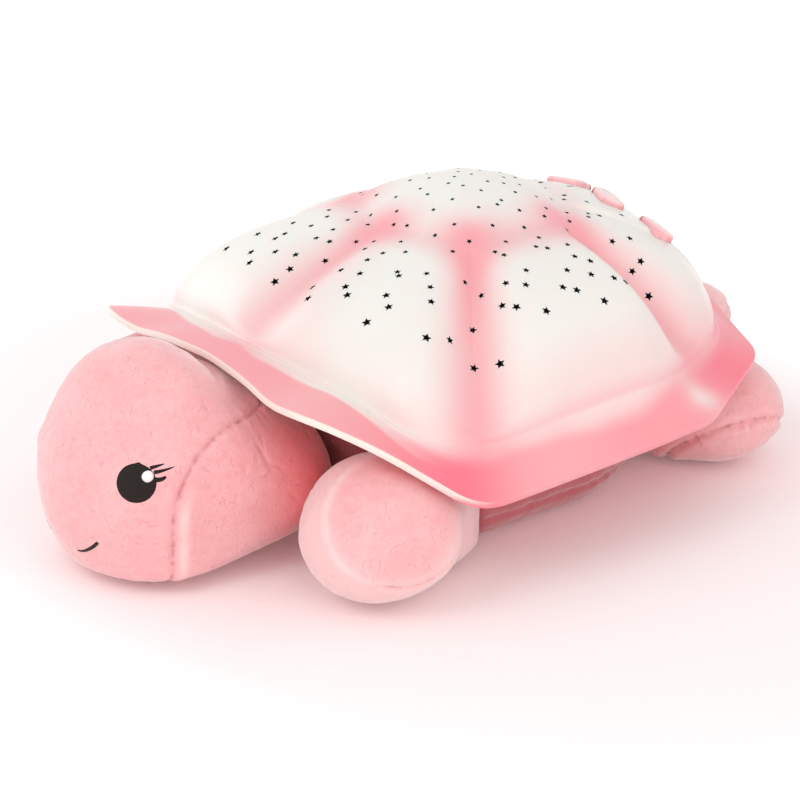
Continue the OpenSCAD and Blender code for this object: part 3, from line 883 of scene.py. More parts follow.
@dataclass
class ShellDome:
    """The star-pierced shell, its button caps and its screw bosses. Lengths are in millimetres."""

    crown_z: float = 141.5
    wall: float = 2.2
    rim_edge: float = 0.45
    plate_out: float = 0.90
    plate_up: float = 0.74
    valley_depth: float = 0.31
    valley_half: float = 8.0
    panel_rise: float = 1.8
    panel_half: float = 32.0
    panel_edge: float = 2.0
    valleys: tuple[float, ...] = (0.0, 55.0, 121.0)
    valley_shares: tuple[float, ...] = (0.72, 1.0, 1.0)
    star_count: int = 230
    star_small: float = 1.15
    star_large: float = 2.4
    star_reach: float = 0.84
    star_waist: float = 0.48
    star_margin: float = 1.5
    button_places: tuple[tuple[float, float], ...] = ((25, 90), (11, 74), (-11, 74), (-25, 90))
    button_l: float = 20.0
    button_w: float = 12.0
    button_rise: float = 3.6
    button_skirt: float = -4.4
    button_clear: float = 0.3
    button_corner: float = 3.4
    button_dome: float = 0.8
    button_stem: float = 2.0
    flange: tuple[float, float] = (1.6, 1.2)
    slot_margin: float = 3.0
    bosses_at: tuple[Place, ...] = (
        (22, -84, 69), (-22, -84, 69), (78, 10, 57.5), (-78, 10, 57.5), (0, 84, 80.5),
    )
    boss_radius: float = 4.2
    boss_bore: float = 1.25
    crease_depth: float = 1.7
    crease_width: float = 3.0
    groove_depth: float = 0.45
    lip_drop: float = 0.7
    steps: int = 360
    ring_shares: Table = ((0, 28, 55, 88, 121, 150, 180), (0.70, 0.40, 0.70, 0.62, 0.66, 0.26, 0.2))
    brim_starts: Table = ((0, 8, 45, 60, 90, 125, 180), (3, 6.5, 7.5, -1, 1, -6, -2))
    brim_spreads: Table = ((0, 45, 62, 90), (2.4, 2.8, 6.0, 7.0))
    foot_shares: Table = ((30, 42, 50, 76), (0.05, 0.14, 0.14, 0.30))
    deep_shares: Table = ((0, 12, 26, 75, 92, 125), (0.26, 0.26, 0.0, 0.0, 0.30, 0.30))
    rim: Outline = field(default_factory=lambda: Outline(
        ((0, -138), (80, -144), (127, -90), (124.5, 42), (90, 101), (0, 129)),
        ((0, 86.5), (14, 85.8), (22, 82), (29, 86.5), (40, 72.5), (56, 46.5), (95, 51), (137, 60), (180, 77)),
        3.5, 4))
    foot: Outline = field(default_factory=lambda: Outline(
        ((0, -119), (61, -108.5), (112, -96), (107, 30), (70, 98), (0, 102)),
        ((0, 88), (28, 80.8), (56, 66), (95, 71), (137, 66), (180, 92)), 9, 9))
    crown: Outline = field(default_factory=lambda: Outline(
        ((0, -48), (44, -31), (42, 25), (0, 48)),
        ((0, 124), (55, 127), (120, 125), (180, 127)), 12, 12))

    def valley_gap(self, angles: Points) -> Points:
        """Returns the angle to the nearest valley, in degrees."""
        folded = Outline.fold(angles)
        return np.min([np.abs(folded - v) for v in self.valleys], axis=0)

    def frames(self, angles: Points) -> dict[str, Points]:
        """Returns the radii, heights and bulges of the sections at some angles.

        Args:
            angles: Degrees from the front.

        Returns:
            Arrays by name: rh and zh at the crown's edge, rj and zj at the foot of the plates,
            rc and zc where a plate bulges, rise of the button panel, rr and zr at the rim.
        """
        rh, zh = self.crown.radius(angles), self.crown.height(angles)
        rj, zj = self.foot.radius(angles), self.foot.height(angles)
        folded = Outline.fold(angles)
        dips = [k * bump_at(folded - a, self.valley_half) for a, k in zip(self.valleys, self.valley_shares)]
        v = np.max(dips, axis=0)
        out, up = self.plate_out - self.valley_depth * v, self.plate_up - self.valley_depth * v
        rise = self.panel_rise * step01((self.panel_half - (180.0 - folded)) / self.panel_edge)
        return {
            "rh": rh, "zh": zh, "rj": rj, "zj": zj, "rc": rh + (rj - rh) * out, "zc": zj + (zh - zj) * up,
            "rise": rise, "rr": self.rim.radius(angles), "zr": self.rim.height(angles),
        }

    def around(self, points: Points) -> tuple[Points, Points, dict[str, Points]]:
        """Finds where points in metres lie on the shell.

        Args:
            points: The points.

        Returns:
            Their angles from the front, their radii, and the sections at those angles.
        """
        x, y = points[:, 0] / MM, points[:, 1] / MM - SHELL_Y
        angle, table = np.degrees(np.arctan2(x, -y)), np.linspace(-180.0, 180.0, 1441)
        return angle, np.hypot(x, y), {k: np.interp(angle, table, v) for k, v in self.frames(table).items()}

    @staticmethod
    def curve(a: Points, b: Points, c: Points, t: Points) -> Points:
        """Returns the point at t on a three-point curve."""
        return (1 - t) ** 2 * a + 2 * t * (1 - t) * b + t * t * c

    def section(self, f: dict[str, Points], band: Band, t: Points) -> tuple[Points, Points]:
        """Returns radius and height at a share t across one band.

        Args:
            f: The sections.
            band: The band.
            t: The share for each section.

        Returns:
            The radii and the heights, in millimetres.
        """
        if band is Band.CROWN:
            return t * f["rh"], self.crown_z - (self.crown_z - f["zh"]) * t * t
        if band is Band.PLATE:
            hump = step01(t / 0.1) * step01((1 - t) / 0.14)
            z = self.curve(f["zh"], f["zc"], f["zj"], t) + f["rise"] * hump
            return self.curve(f["rh"], f["rc"], f["rj"], t), z
        reach, drop = f["rr"] - f["rj"], f["zr"] - f["zj"]
        r = self.curve(f["rj"], f["rj"] + 0.28 * reach, f["rr"], t)
        return r, self.curve(f["zj"], f["zj"] + 0.75 * drop, f["zr"], t)

    def height_at(self, x: float, y: float) -> float:
        """Returns the shell's height over a place in plan, on its crown or plates.

        Args:
            x: Millimetres to the left of the shell's middle.
            y: Millimetres behind it.

        Returns:
            The height, in millimetres.
        """
        rho = math.hypot(x, y)
        f = self.frames(np.array([math.degrees(math.atan2(x, -y))]))
        if rho < f["rh"][0]:
            return float(self.section(f, Band.CROWN, np.array([rho / f["rh"][0]]))[1][0])
        a, b = f["rh"] - 2 * f["rc"] + f["rj"], 2 * (f["rc"] - f["rh"])
        c = f["rh"] - rho
        t = 2 * c / (-b - np.sqrt(np.maximum(0.0, b * b - 4 * a * c)))
        return float(self.section(f, Band.PLATE, t)[1][0])

    def normal_at(self, x: float, y: float, h: float = 1.0) -> Vector:
        """Returns the outward normal over a place in plan.

        Args:
            x: Millimetres to the left of the shell's middle.
            y: Millimetres behind it.
            h: How far to each side the slope is taken.

        Returns:
            The normal.
        """
        slope_x = self.height_at(x - h, y) - self.height_at(x + h, y)
        slope_y = self.height_at(x, y - h) - self.height_at(x, y + h)
        return Vector((slope_x, slope_y, 2 * h)).normalized()

    def post(self, x: float, y: float, h: float = 1.0) -> Matrix:
        """Returns the matrix of a shape that stands on the shell, for shapes drawn in millimetres."""
        place = Vector((x, y + SHELL_Y, self.height_at(x, y))) * MM
        return stand(place, self.normal_at(x, y, h)) @ Matrix.Scale(MM, 4)

    # -- skin --

    def skin(self) -> Piece:
        """Models the outer skin from a grid, row by row from the crown to the rim.

        Returns:
            The skin.
        """
        shares = {band: self.shares(band) for band in Band}
        total = sum(len(share) for share in shares.values())
        bpy.ops.mesh.primitive_grid_add(x_subdivisions=self.steps, y_subdivisions=total, size=1.0)
        piece = made("shell_dome_dressed")
        grid = points_of(piece)
        column = np.rint((grid[:, 0] + 0.5) * self.steps).astype(int) % self.steps
        row = np.rint((grid[:, 1] + 0.5) * total).astype(int)
        angles = np.arange(self.steps) * 360.0 / self.steps
        f = self.frames(angles)
        radius, height = [np.zeros(self.steps)], [np.full(self.steps, self.crown_z)]
        for band in Band:
            for share in shares[band]:
                r, z = self.section(f, band, np.full(self.steps, share))
                radius.append(r)
                height.append(z)
        radius, height = np.array(radius), np.array(height)
        turn = np.radians(angles)[None, :]
        surface = np.stack([radius * np.sin(turn), -radius * np.cos(turn), height], axis=-1)
        surface += self.relief(radius, f, angles)[..., None] * self.facing(surface)
        surface[0] = surface[0].mean(axis=0)
        move_points(piece, (surface[row, column] + [0.0, SHELL_Y, 0.0]) * MM)
        edit(piece, lambda: bpy.ops.mesh.remove_doubles(threshold=0.00001), face_outwards)
        return piece

    @staticmethod
    def shares(band: Band) -> Points:
        """Returns the places of the rows across a band, close together at the foot and the rim.

        Args:
            band: The band.

        Returns:
            Shares of the way across it.
        """
        stretches = {
            Band.CROWN: ((0.0, 1.0, 14),),
            Band.PLATE: ((0.0, 0.84, 28), (0.84, 1.0, 15)),
            Band.BRIM: ((0.0, 0.2, 10), (0.2, 0.9, 13), (0.9, 1.0, 6)),
        }
        return np.concatenate([np.linspace(a, b, n + 1)[1:] for a, b, n in stretches[band]])

    @staticmethod
    def facing(surface: Points) -> Points:
        """Returns the outward normals of a grid of points, rows by columns.

        Args:
            surface: The points.

        Returns:
            The normals.
        """
        down = np.gradient(surface, axis=0)
        around = np.roll(surface, -1, axis=1) - np.roll(surface, 1, axis=1)
        n = np.cross(down, around)
        n /= np.maximum(np.linalg.norm(n, axis=-1, keepdims=True), 1e-9)
        n[0] = [0.0, 0.0, 1.0]
        return np.where(n[..., 2:] < 0, -n, n) if n[1:4, :, 2].mean() < 0 else n

    def relief(self, radius: Points, f: dict[str, Points], angles: Points) -> Points:
        """Returns the small creases: valley lines, the crown's edge and two grooves at the plates' feet.

        Args:
            radius: The radius of each point, rows by columns.
            f: The sections of the columns.
            angles: Their angles from the front.

        Returns:
            How far each point rises, in millimetres.
        """
        gap = np.radians(self.valley_gap(angles))[None, :] * radius
        share = (radius - f["rh"]) / (f["rj"] - f["rh"])
        crease = np.exp(-np.abs(gap) / self.crease_width) * step01((share + 0.04) / 0.16)
        crease *= step01((0.86 - share) / 0.50) * step01((Outline.fold(angles) - 20) / 20)
        past = radius - f["rj"]
        grooves = bump_at(past + 0.4, 0.75) + 0.8 * bump_at(past - 2.2, 0.75) - 0.7 * bump_at(past + 3.2, 1.5)
        edge = bump_at(radius - f["rh"], 2.4)
        return -self.crease_depth * crease - self.groove_depth * grooves - 0.35 * edge

    # -- holes --

    def star_places(self) -> list[Place]:
        """Returns x, y and radius of every star, in a golden-angle spiral that is nudged about.

        Returns:
            Three numbers for each star, in millimetres.
        """

        def jitter(i: int, k: int) -> float:
            """Returns a repeatable number from -0.5 to 0.5."""
            value = math.sin(math.radians(i * 71.3 + k * 133.7)) * 437.58
            return value - math.floor(value) - 0.5

        stars = []
        buttons = [self.button_xy(b) for b in self.button_places]
        for i in range(self.star_count):
            a = i * 137.508 + 9 * jitter(i, 1)
            share = self.star_reach * ((i + 0.6) / self.star_count) ** 0.56
            rho = share * float(self.foot.radius(np.array([a]))[0]) + 7 * jitter(i, 2)
            x, y = rho * math.sin(math.radians(a)), -rho * math.cos(math.radians(a))
            size = self.star_small + (self.star_large - self.star_small) * (i / self.star_count) ** 1.2
            if min(math.hypot(x - u, y - v) for u, v in buttons) >= self.button_l / 2 + 6:
                stars.append((x, y, size))
        return stars

    @staticmethod
    def button_xy(place: tuple[float, float]) -> tuple[float, float]:
        """Returns a button's place in plan from its angle about the rear and its radius."""
        a = math.radians(place[0])
        return place[1] * math.sin(a), place[1] * math.cos(a)

    def cutters(self, coats: Sequence[Material]) -> Piece:
        """Models every star prism and button slot as one cutter.

        Args:
            coats: The shell's finish, which the slots take, and its black painted shade, which the stars
                take.

        Returns:
            The cutter.
        """
        bpy.ops.mesh.primitive_circle_add(vertices=10, radius=1.0, fill_type="NGON")
        star = made("star_cutter")
        outline = points_of(star)
        spoke = np.rint((np.degrees(np.arctan2(outline[:, 1], outline[:, 0])) - 90.0) / 36.0).astype(int)
        turn = np.radians(36.0 * spoke)
        far = np.where(spoke % 2 == 0, 1.0, self.star_waist)
        move_points(star, np.stack([far * np.cos(turn), far * np.sin(turn), np.zeros(len(turn))], axis=-1))
        edit(
            star,
            lambda: bpy.ops.mesh.extrude_region_move(TRANSFORM_OT_translate={"value": (0, 0, 1.0)}),
            lambda: bpy.ops.mesh.select_all(action="SELECT"),
            face_outwards,
        )
        self.coat(star, coats)
        star.data.polygons.foreach_set("material_index", np.ones(len(star.data.polygons), np.int32))
        copies = []
        for x, y, r in self.star_places():
            twin = add_to_scene(star.copy())
            twin.data = star.data.copy()
            shape = lifted(-self.wall - self.star_margin, (r, r, self.wall + 2 * self.star_margin))
            settle(twin, self.post(x, y) @ shape)
            copies.append(twin)
        for place in self.button_places:
            clear = 2 * self.button_clear
            slot = slab("slot", self.button_w + clear, self.button_l + clear, self.button_corner - 0.1)
            shape = lifted(-self.wall - self.slot_margin, (1, 1, self.wall + 2 * self.slot_margin))
            settle(slot, self.post(*self.button_xy(place), 4.0) @ shape)
            self.coat(slot, coats)
            copies.append(slot)
        bpy.data.objects.remove(star)
        return joined("cutters", copies)

    @staticmethod
    def coat(piece: Piece, coats: Sequence[Material]) -> None:
        """Gives a piece some finishes, in order."""
        for coat in coats:
            piece.data.materials.append(coat)

    # -- paint --

    def spray(self, piece: Piece) -> None:
        """Works out how much pink each vertex of the shell has taken, with painted shade and a painted
        highlight.

        Args:
            piece: The shell.
        """
        points = points_of(piece)
        angle, rho, f = self.around(points)
        folded = Outline.fold(angle)
        off = np.radians(self.valley_gap(angle)) * rho
        share = np.clip((rho - f["rh"]) / (f["rj"] - f["rh"]), 0.0, 1.0)
        points[:, 1] -= SHELL_Y * MM
        drift = 2.2 * waves(points, 0.045, 3.1) + 0.9 * waves(points, 0.018, 7.7)
        past, beyond = rho - f["rj"], rho - f["rh"]
        width = 7.5 + 7.0 * share
        front = 1.0 - step01((folded - 20) / 14)
        strength = (0.90 - 0.10 * bump_at(share - 0.5, 0.25)) * (1.0 - front) + (0.88 - 0.34 * share) * front
        valley = strength * bump_at(off + 0.4 * drift, width) * step01((beyond + 14) / 12)
        knot = 0.85 * bump_at(np.hypot(off, 0.9 * (beyond - 3)), 13.0)
        ring = np.interp(folded, *self.ring_shares) * bump_at(beyond - 3 + drift, 9.5)
        start, spread = np.interp(folded, *self.brim_starts), np.interp(folded, *self.brim_spreads)
        brim = 0.97 * step01((past - start + 0.35 * drift * spread / 2.4) / spread)
        lower = np.interp(folded, *self.foot_shares) * bump_at(past - 2, 12.0)
        haze = 0.16 * step01((34 - folded) / 26) * step01((share - 0.1) / 0.3)
        haze += 0.03 * step01((folded - 55) / 30) * step01((share - 0.15) / 0.6)
        pink = 1.0 - np.prod([1.0 - part for part in (valley, knot, ring, brim, lower, haze)], axis=0)
        across = np.clip(past / (f["rr"] - f["rj"]), 0.0, 1.2)
        reach = np.where(folded < 53, 13.0, 8.5)
        corner = 1.12 * np.maximum(bump_at((folded - 52) / reach, 1.0), 0.92 * bump_at(folded - 129, 15.0))
        corner = np.maximum(corner, np.interp(folded, *self.deep_shares))
        # Painted shade: deep pink along the first groove at the plates' foot, on the sides and the rear.
        line = 0.22 * step01((folded - 52) / 6) * bump_at(past + 0.4, 0.8)
        # Painted highlight: a pale spot with less pink on the brim towards the rear.
        glint = 1.0 - 0.85 * bump_at(np.hypot((folded - 113.0) * 2.0, rho - 121.0), 8.0)
        paint(piece, "pink", np.clip(pink, 0, 1) * (0.2 + 0.8 * glint))
        paint(piece, "deep", np.maximum(0.78 * corner * step01((across + 0.05) / 0.4) * glint, line))
        paint(piece, "bare", step01((rho - f["rr"] + 0.75) / 0.35) * step01((59 - folded) / 7))

    def line(self, piece: Piece) -> None:
        """Thickens the rim's lower lip, and keeps the black painted shade only on the inside of the plates.

        Args:
            piece: The shell, once it has its wall.
        """
        at = points_of(piece)
        _, rho, f = self.around(at)
        inner = np.arange(len(at)) >= len(at) // 2
        at[:, 2] -= self.lip_drop * MM * inner * step01((rho - f["rr"] + 3.4) / 1.4)
        move_points(piece, at)
        # Painted shade: the black coat stays only on the inner faces of the plates, not under the brim.
        for polygon in piece.data.polygons:
            corner = polygon.vertices[0]
            if polygon.material_index == 1 and rho[corner] > f["rj"][corner] - 2.0:
                polygon.material_index = 0

    # -- pieces --

    def bosses(self) -> Piece:
        """Models the screw bosses that stand inside the shell.

        Returns:
            All of them as one piece.
        """
        tubes = []
        ring = [self.boss_radius * np.array([math.cos(q), math.sin(q)]) for q in np.arange(8) * math.pi / 4]
        for x, y, z in self.bosses_at:
            top, bottom = min(self.height_at(x + a, y + b) for a, b in ring) - 0.9, z + 0.2
            middle = Vector((x, y + SHELL_Y, (top + bottom) / 2)) * MM
            tubes.append(cylinder(40, self.boss_radius * MM, (top - bottom) * MM, middle))
            carve(tubes[-1], cylinder(24, self.boss_bore * MM, 26 * MM, (middle.x, middle.y, bottom * MM)))
        piece = joined("shell_bosses", tubes)
        modify(piece, "BEVEL", width=0.3 * MM, segments=2, limit_method="ANGLE")
        smooth(piece, 35)
        return piece

    def build(self, finish: Material, painted_shade_coat: Material, casing: Material) -> Piece:
        """Models the whole shell and puts it on the body.

        Args:
            finish: The sprayed finish.
            painted_shade_coat: The black painted shade inside the plates, which the stars show.
            casing: The finish of the bosses inside.

        Returns:
            The shell.
        """
        piece = self.skin()
        self.coat(piece, (finish, painted_shade_coat))
        modify(
            piece, "SOLIDIFY", thickness=self.wall * MM, offset=-1.0, use_even_offset=True, use_rim=True,
            material_offset=1,
        )
        self.line(piece)
        sharp = math.radians(50)
        modify(piece, "BEVEL", width=self.rim_edge * MM, segments=2, limit_method="ANGLE", angle_limit=sharp)
        carve(piece, self.cutters((finish, painted_shade_coat)))
        smooth(piece, 35)
        self.spray(piece)
        hand_over(piece, None, "shell_dome", ROOT)
        bosses = self.bosses()
        self.coat(bosses, (casing,))
        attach(bosses, ROOT)
        return piece

    def button(self, node: str, place: tuple[float, float], finish: Material) -> Piece:
        """Models one button cap with its skirt, flange and stem.

        Args:
            node: The CAD node and body that it stands for.
            place: Its angle about the rear and its radius.
            finish: Its finish.

        Returns:
            The cap.
        """
        cap = slab(node + "_cap", self.button_w, self.button_l, self.button_corner)
        bottom = self.button_skirt
        settle(cap, lifted(bottom, (1, 1, self.button_rise - self.button_dome - bottom)))
        top = points_of(cap)[:, 2].max()
        # The corners' own edges are rounded too, which leaves fine teeth on them, under 0.2 mm proud.
        rounded = lambda: bpy.ops.mesh.bevel(offset=1.5, segments=5, affect="EDGES")
        top_or_corner = lambda p: p.normal.z > 0.9 or abs(p.normal.x * p.normal.y) > 0.001
        edit_where(cap, "FACE", top_or_corner, rounded)
        insets = [lambda t=t: bpy.ops.mesh.inset(thickness=t, depth=0.0) for t in (0.8, 0.9, 1.0)]
        edit_where(cap, "FACE", lambda p: p.normal.z > 0.999 and p.area > 20, *insets, bpy.ops.mesh.poke)
        at = points_of(cap)
        across, along = at[:, 0] / (self.button_w / 2), at[:, 1] / (self.button_l / 2)
        crown = 1.0 - np.clip(across ** 2 + along ** 2, 0, 1)
        at[:, 2] += np.where(at[:, 2] > top - 0.05, self.button_dome * crown, 0.0)
        move_points(cap, at)
        wider, thick = self.flange
        flange = slab("flange", self.button_w + wider, self.button_l + wider, 3.0)
        settle(flange, lifted(bottom - thick, (1, 1, thick)))
        stem = cylinder(32, self.button_stem, 4.1, (0, 0, bottom - 2.1))
        cap = joined(node + "_cap", (cap, flange, stem))
        paint(cap, "rise", points_of(cap)[:, 2] / self.button_rise)
        settle(cap, self.post(*self.button_xy(place), 4.0))
        smooth(cap, 40)
        return hand_over(cap, finish, node, node)


# ---- Stuffed parts ---------------------------------------------------------


@dataclass
class Seam:
    """A sewn seam: the line where a rule for distance is zero. Lengths are in metres."""

    rule: Rule
    depth: float = 0.0014
    width: float = 0.0016
    pucker: float = 0.0006
    pucker_length: float = 0.0048
    ridge: float = 0.0
    ridge_at: float = 0.0045
    ridge_width: float = 0.0024
    reach: float = 0.018
    fade: float = 0.0050
    thread_width: float = 0.0007
    within: Optional[Rule] = None
    stitched: Optional[Rule] = None
    ridged: Optional[Rule] = None

    def measure(self, points: Points, normals: Points) -> tuple[Points, Points]:
        """Returns each point's signed distance to the seam along the cloth, and its foot on the seam.

        Args:
            points: The cloth's points.
            normals: Its outward normals.

        Returns:
            The distances and the feet.
        """
        h = 1e-4
        ways = [(self.rule(points + h * e) - self.rule(points - h * e)) / (2 * h) for e in np.eye(3)]
        slope = np.stack(ways, axis=-1)
        slope -= (slope * normals).sum(axis=1, keepdims=True) * normals
        size = np.maximum(np.linalg.norm(slope, axis=1), 0.25)
        distance = self.rule(points) / size
        return distance, points - slope * (distance / size)[:, None]

    def press(self, points: Points, normals: Points, seed: float) -> tuple[Points, Points, Points]:
        """Works out the groove, the ridge and the puckers beside it, and the stitched line.

        Args:
            points: The cloth's points.
            normals: Its outward normals.
            seed: Shifts the puckers.

        Returns:
            How far each point moves along its normal, how much stitching it shows, and how much
            painted highlight it takes beside its ridge.
        """
        distance, foot = self.measure(points, normals)
        near = np.abs(distance) < self.reach
        move, thread, painted_highlight = np.zeros((3, len(points)))
        if not near.any():
            return move, thread, painted_highlight
        d, along = distance[near], foot[near]
        keep = self.within(points[near]) if self.within else 1.0
        shown = self.stitched(points[near]) if self.stitched else 1.0
        ripple = waves(along, self.pucker_length, seed)
        ripple += 0.7 * waves(along, 0.5 * self.pucker_length, seed + 5)
        groove = bump_at(d, self.width) - 0.35 * bump_at(np.abs(d) - 2.6 * self.width, 1.8 * self.width)
        away = (d - self.ridge_at) * np.sign(self.ridge_at)
        swell = np.where(away < 0, bump_at(away, self.ridge_width), bump_at(away, 2.2 * self.ridge_width))
        ridged = self.ridged(points[near]) if self.ridged else 1.0
        swell *= (0.9 + 0.5 * waves(along, 0.010, seed + 2)) * ridged
        pull = self.pucker * ripple * np.exp(-np.abs(d) / self.fade) * (0.2 + 0.8 * shown)
        move[near] = keep * (-self.depth * shown * groove + self.ridge * swell + pull)
        broken = 0.45 + 1.1 * waves(along, 0.0026, seed + 9)
        thread[near] = np.clip(keep * shown * broken, 0, 1) * bump_at(d, self.thread_width)
        # Painted highlight: the pile beside the ridge is painted paler, where it catches the light.
        proud = np.minimum(1.0, self.ridge / 0.0008)
        painted_highlight[near] = keep * proud * bump_at(away, 1.1 * self.ridge_width) * swell
        return move, thread, painted_highlight


@dataclass
class Dent:
    """A soft dent or rise in the cloth, longer along one direction. Lengths are in metres."""

    at: Place
    along: Place
    length: float
    width: float
    depth: float

    def press(self, points: Points) -> Points:
        """Returns how far each point moves along its normal.

        Args:
            points: The cloth's points.

        Returns:
            The moves, in metres.
        """
        way = np.array(self.along) / np.linalg.norm(self.along)
        offset = points - np.array(self.at)
        run = offset @ way
        side = np.linalg.norm(offset - run[:, None] * way, axis=1)
        return -self.depth * bump_at(run, self.length) * bump_at(side, self.width)


@dataclass
class Ring(Dent):
    """A faint round ridge in the cloth about a place, which faces along a direction."""

    radius: float = 0.0108

    def press(self, points: Points) -> Points:
        """Returns how far each point moves along its normal.

        Args:
            points: The cloth's points.

        Returns:
            The moves, in metres.
        """
        offset = points - np.array(self.at)
        far = np.linalg.norm(offset, axis=1)
        way = np.array(self.along) / np.linalg.norm(self.along)
        side = step01((offset @ way / np.maximum(far, 1e-6) + 0.1) / 0.7)
        return -self.depth * side * bump_at(far - self.radius, self.width)


@dataclass
class Stuffed:
    """A stuffed velour part that stands for one CAD node. Lengths are in metres."""

    node: str
    body: str
    seams: Sequence[Seam] = ()
    dents: Sequence[Dent] = ()
    held: Optional[Rule] = None
    # How much of the fold colour each point takes: painted shade where the part tucks into shadow.
    folded: Optional[Rule] = None
    voxel: float = 0.004
    shrink: float = 0.0022
    cap: float = 0.0055
    pressure: float = 4.0
    fill: float = 0.7
    hug: float = 0.65
    # How much of the pale colour each point takes: a painted highlight where the part catches the light.
    painted_light: Optional[Rule] = None
    finer: int = 2
    lump: float = 0.0009
    lump_length: float = 0.034
    creases: int = 0
    crease_width: float = 0.0009
    crease_reach: float = 0.012
    most_pulled: float = 0.006
    frames: int = 20
    floor: float = 0.0003
    seed: float = 1.0

    def build(self, finish: Material) -> Piece:
        """Models the part: a slack skin that is blown up, then sewn and dented.

        Args:
            finish: Its velour.

        Returns:
            The finished piece.
        """
        piece = copy_of_node(self.node, self.node + "_velour")
        solid = surface_of(piece)
        modify(piece, "REMESH", mode="VOXEL", voxel_size=self.voxel)
        modify(piece, "SMOOTH", factor=0.5, iterations=6)
        self.slacken(piece)
        self.inflate(piece)
        modify(piece, "SUBSURF", levels=self.finer, render_levels=self.finer)
        self.pull_to(piece, solid)
        self.sew(piece)
        smooth(piece)
        return hand_over(piece, finish, self.node, self.body)

    def grip(self, points: Points, normals: Points) -> Points:
        """Returns how firmly each point is held while the skin is blown up, from 0 to 1.

        Args:
            points: The cloth's points.
            normals: Its outward normals.

        Returns:
            The holds.
        """
        hold = np.zeros(len(points))
        for seam in self.seams:
            distance, _ = seam.measure(points, normals)
            keep = seam.within(points) if seam.within else 1.0
            hold = np.maximum(hold, keep * (np.abs(distance) < 0.6 * self.voxel))
        if self.held:
            hold = np.maximum(hold, self.held(points))
        return hold

    def slacken(self, piece: Piece) -> None:
        """Draws the skin inwards, so that it has room to swell.

        Args:
            piece: The skin.
        """
        points, normals = points_of(piece), normals_of(piece)
        fixed = self.held(points) if self.held else np.zeros(len(points))
        move_points(piece, points - normals * (self.shrink * (1.0 - fixed))[:, None])

    def inflate(self, piece: Piece) -> None:
        """Blows the skin up as cloth, held at its seams, and caps how far it goes.

        Args:
            piece: The skin.
        """
        scene = bpy.context.scene
        before = points_of(piece)
        group = piece.vertex_groups.new(name="held")
        for index, weight in enumerate(self.grip(before, normals_of(piece))):
            if weight > 0.01:
                group.add([index], float(weight), "REPLACE")
        pick(piece)
        cloth = piece.modifiers.new("Cloth", "CLOTH")
        settings = cloth.settings
        settings.use_pressure = True
        settings.uniform_pressure_force = self.pressure
        settings.effector_weights.gravity = 0.0
        settings.quality = 4
        settings.mass = 0.3
        settings.bending_stiffness = 0.4
        settings.vertex_group_mass = group.name
        cloth.point_cache.frame_start, cloth.point_cache.frame_end = 1, self.frames
        for number in range(1, self.frames + 1):
            scene.frame_set(number)
        bpy.ops.object.modifier_apply(modifier=cloth.name)
        scene.frame_set(1)
        moved = points_of(piece) - before
        far = np.linalg.norm(moved, axis=1, keepdims=True)
        move_points(piece, before + moved * np.minimum(1.0, self.cap / np.maximum(far, 1e-9)))
        piece.vertex_groups.clear()
        log.info("%s swelled by %.1f mm on average", piece.name, float(far.mean()) / MM)

    def pull_to(self, piece: Piece, solid: BVHTree) -> None:
        """Draws the skin most of the way back to the solid's surface, and keeps its ripples.

        Args:
            piece: The skin.
            solid: The surface of the CAD solid.
        """
        points, normals = points_of(piece), normals_of(piece)
        offset = np.zeros(len(points))
        for i, p in enumerate(points):
            near, face_normal, _, _ = solid.find_nearest(Vector(p))
            offset[i] = (Vector(p) - near).dot(face_normal)
        offset = np.clip(offset, -self.most_pulled, self.most_pulled)
        move_points(piece, points - normals * (self.hug * offset)[:, None])
        modify(piece, "SMOOTH", factor=0.5, iterations=4)

    def little_creases(self, points: Points, normals: Points) -> Points:
        """Returns how far short creases, scattered over the part, press each point in.

        Args:
            points: The cloth's points.
            normals: Its outward normals.

        Returns:
            The moves, in metres.
        """
        chance = np.random.default_rng(int(self.seed))
        move = np.zeros(len(points))
        for index in chance.choice(len(points), self.creases, replace=False):
            centre, normal = points[index], normals[index]
            way = np.cross(normal, chance.normal(size=3))
            length, depth = chance.uniform(0.0018, 0.0045), chance.uniform(0.00025, 0.00060)
            near = np.linalg.norm(points - centre, axis=1) < self.crease_reach
            crease = Dent(tuple(centre), tuple(way), length, self.crease_width, depth)
            move[near] += crease.press(points[near])
        return move

    def sew(self, piece: Piece) -> None:
        """Presses in the seams, dents, lumps and creases, and lays the part on the floor.

        Args:
            piece: The skin.
        """
        points, normals = points_of(piece), normals_of(piece)
        move = 1.6 * self.lump * waves(points, self.lump_length, self.seed)
        move += 0.40 * self.lump * waves(points, 0.4 * self.lump_length, self.seed + 3)
        move += 0.16 * self.lump * waves(points, 0.16 * self.lump_length, self.seed + 6)
        move += self.little_creases(points, normals)
        thread, painted_highlight = np.zeros(len(points)), np.zeros(len(points))
        for number, seam in enumerate(self.seams):
            change, line, swell = seam.press(points, normals, self.seed + 11 * number)
            move += change
            thread, painted_highlight = np.maximum(thread, line), np.maximum(painted_highlight, swell)
        for dent in self.dents:
            move += dent.press(points)
        if self.held:
            move *= 1.0 - self.held(points)
        points += normals * move[:, None]
        points[:, 2] = np.maximum(points[:, 2], self.floor)
        move_points(piece, points)
        paint(piece, "seam", thread)
        # Painted highlight in the highlight attribute, painted shade in the fold attribute.
        brushed_and_lit = self.painted_light(points) if self.painted_light else 0.0
        paint(piece, "painted_highlight", np.clip(painted_highlight + brushed_and_lit, 0.0, 1.0))
        paint(piece, "fold", np.clip(self.folded(points), 0.0, 1.0) if self.folded else np.zeros(len(points)))


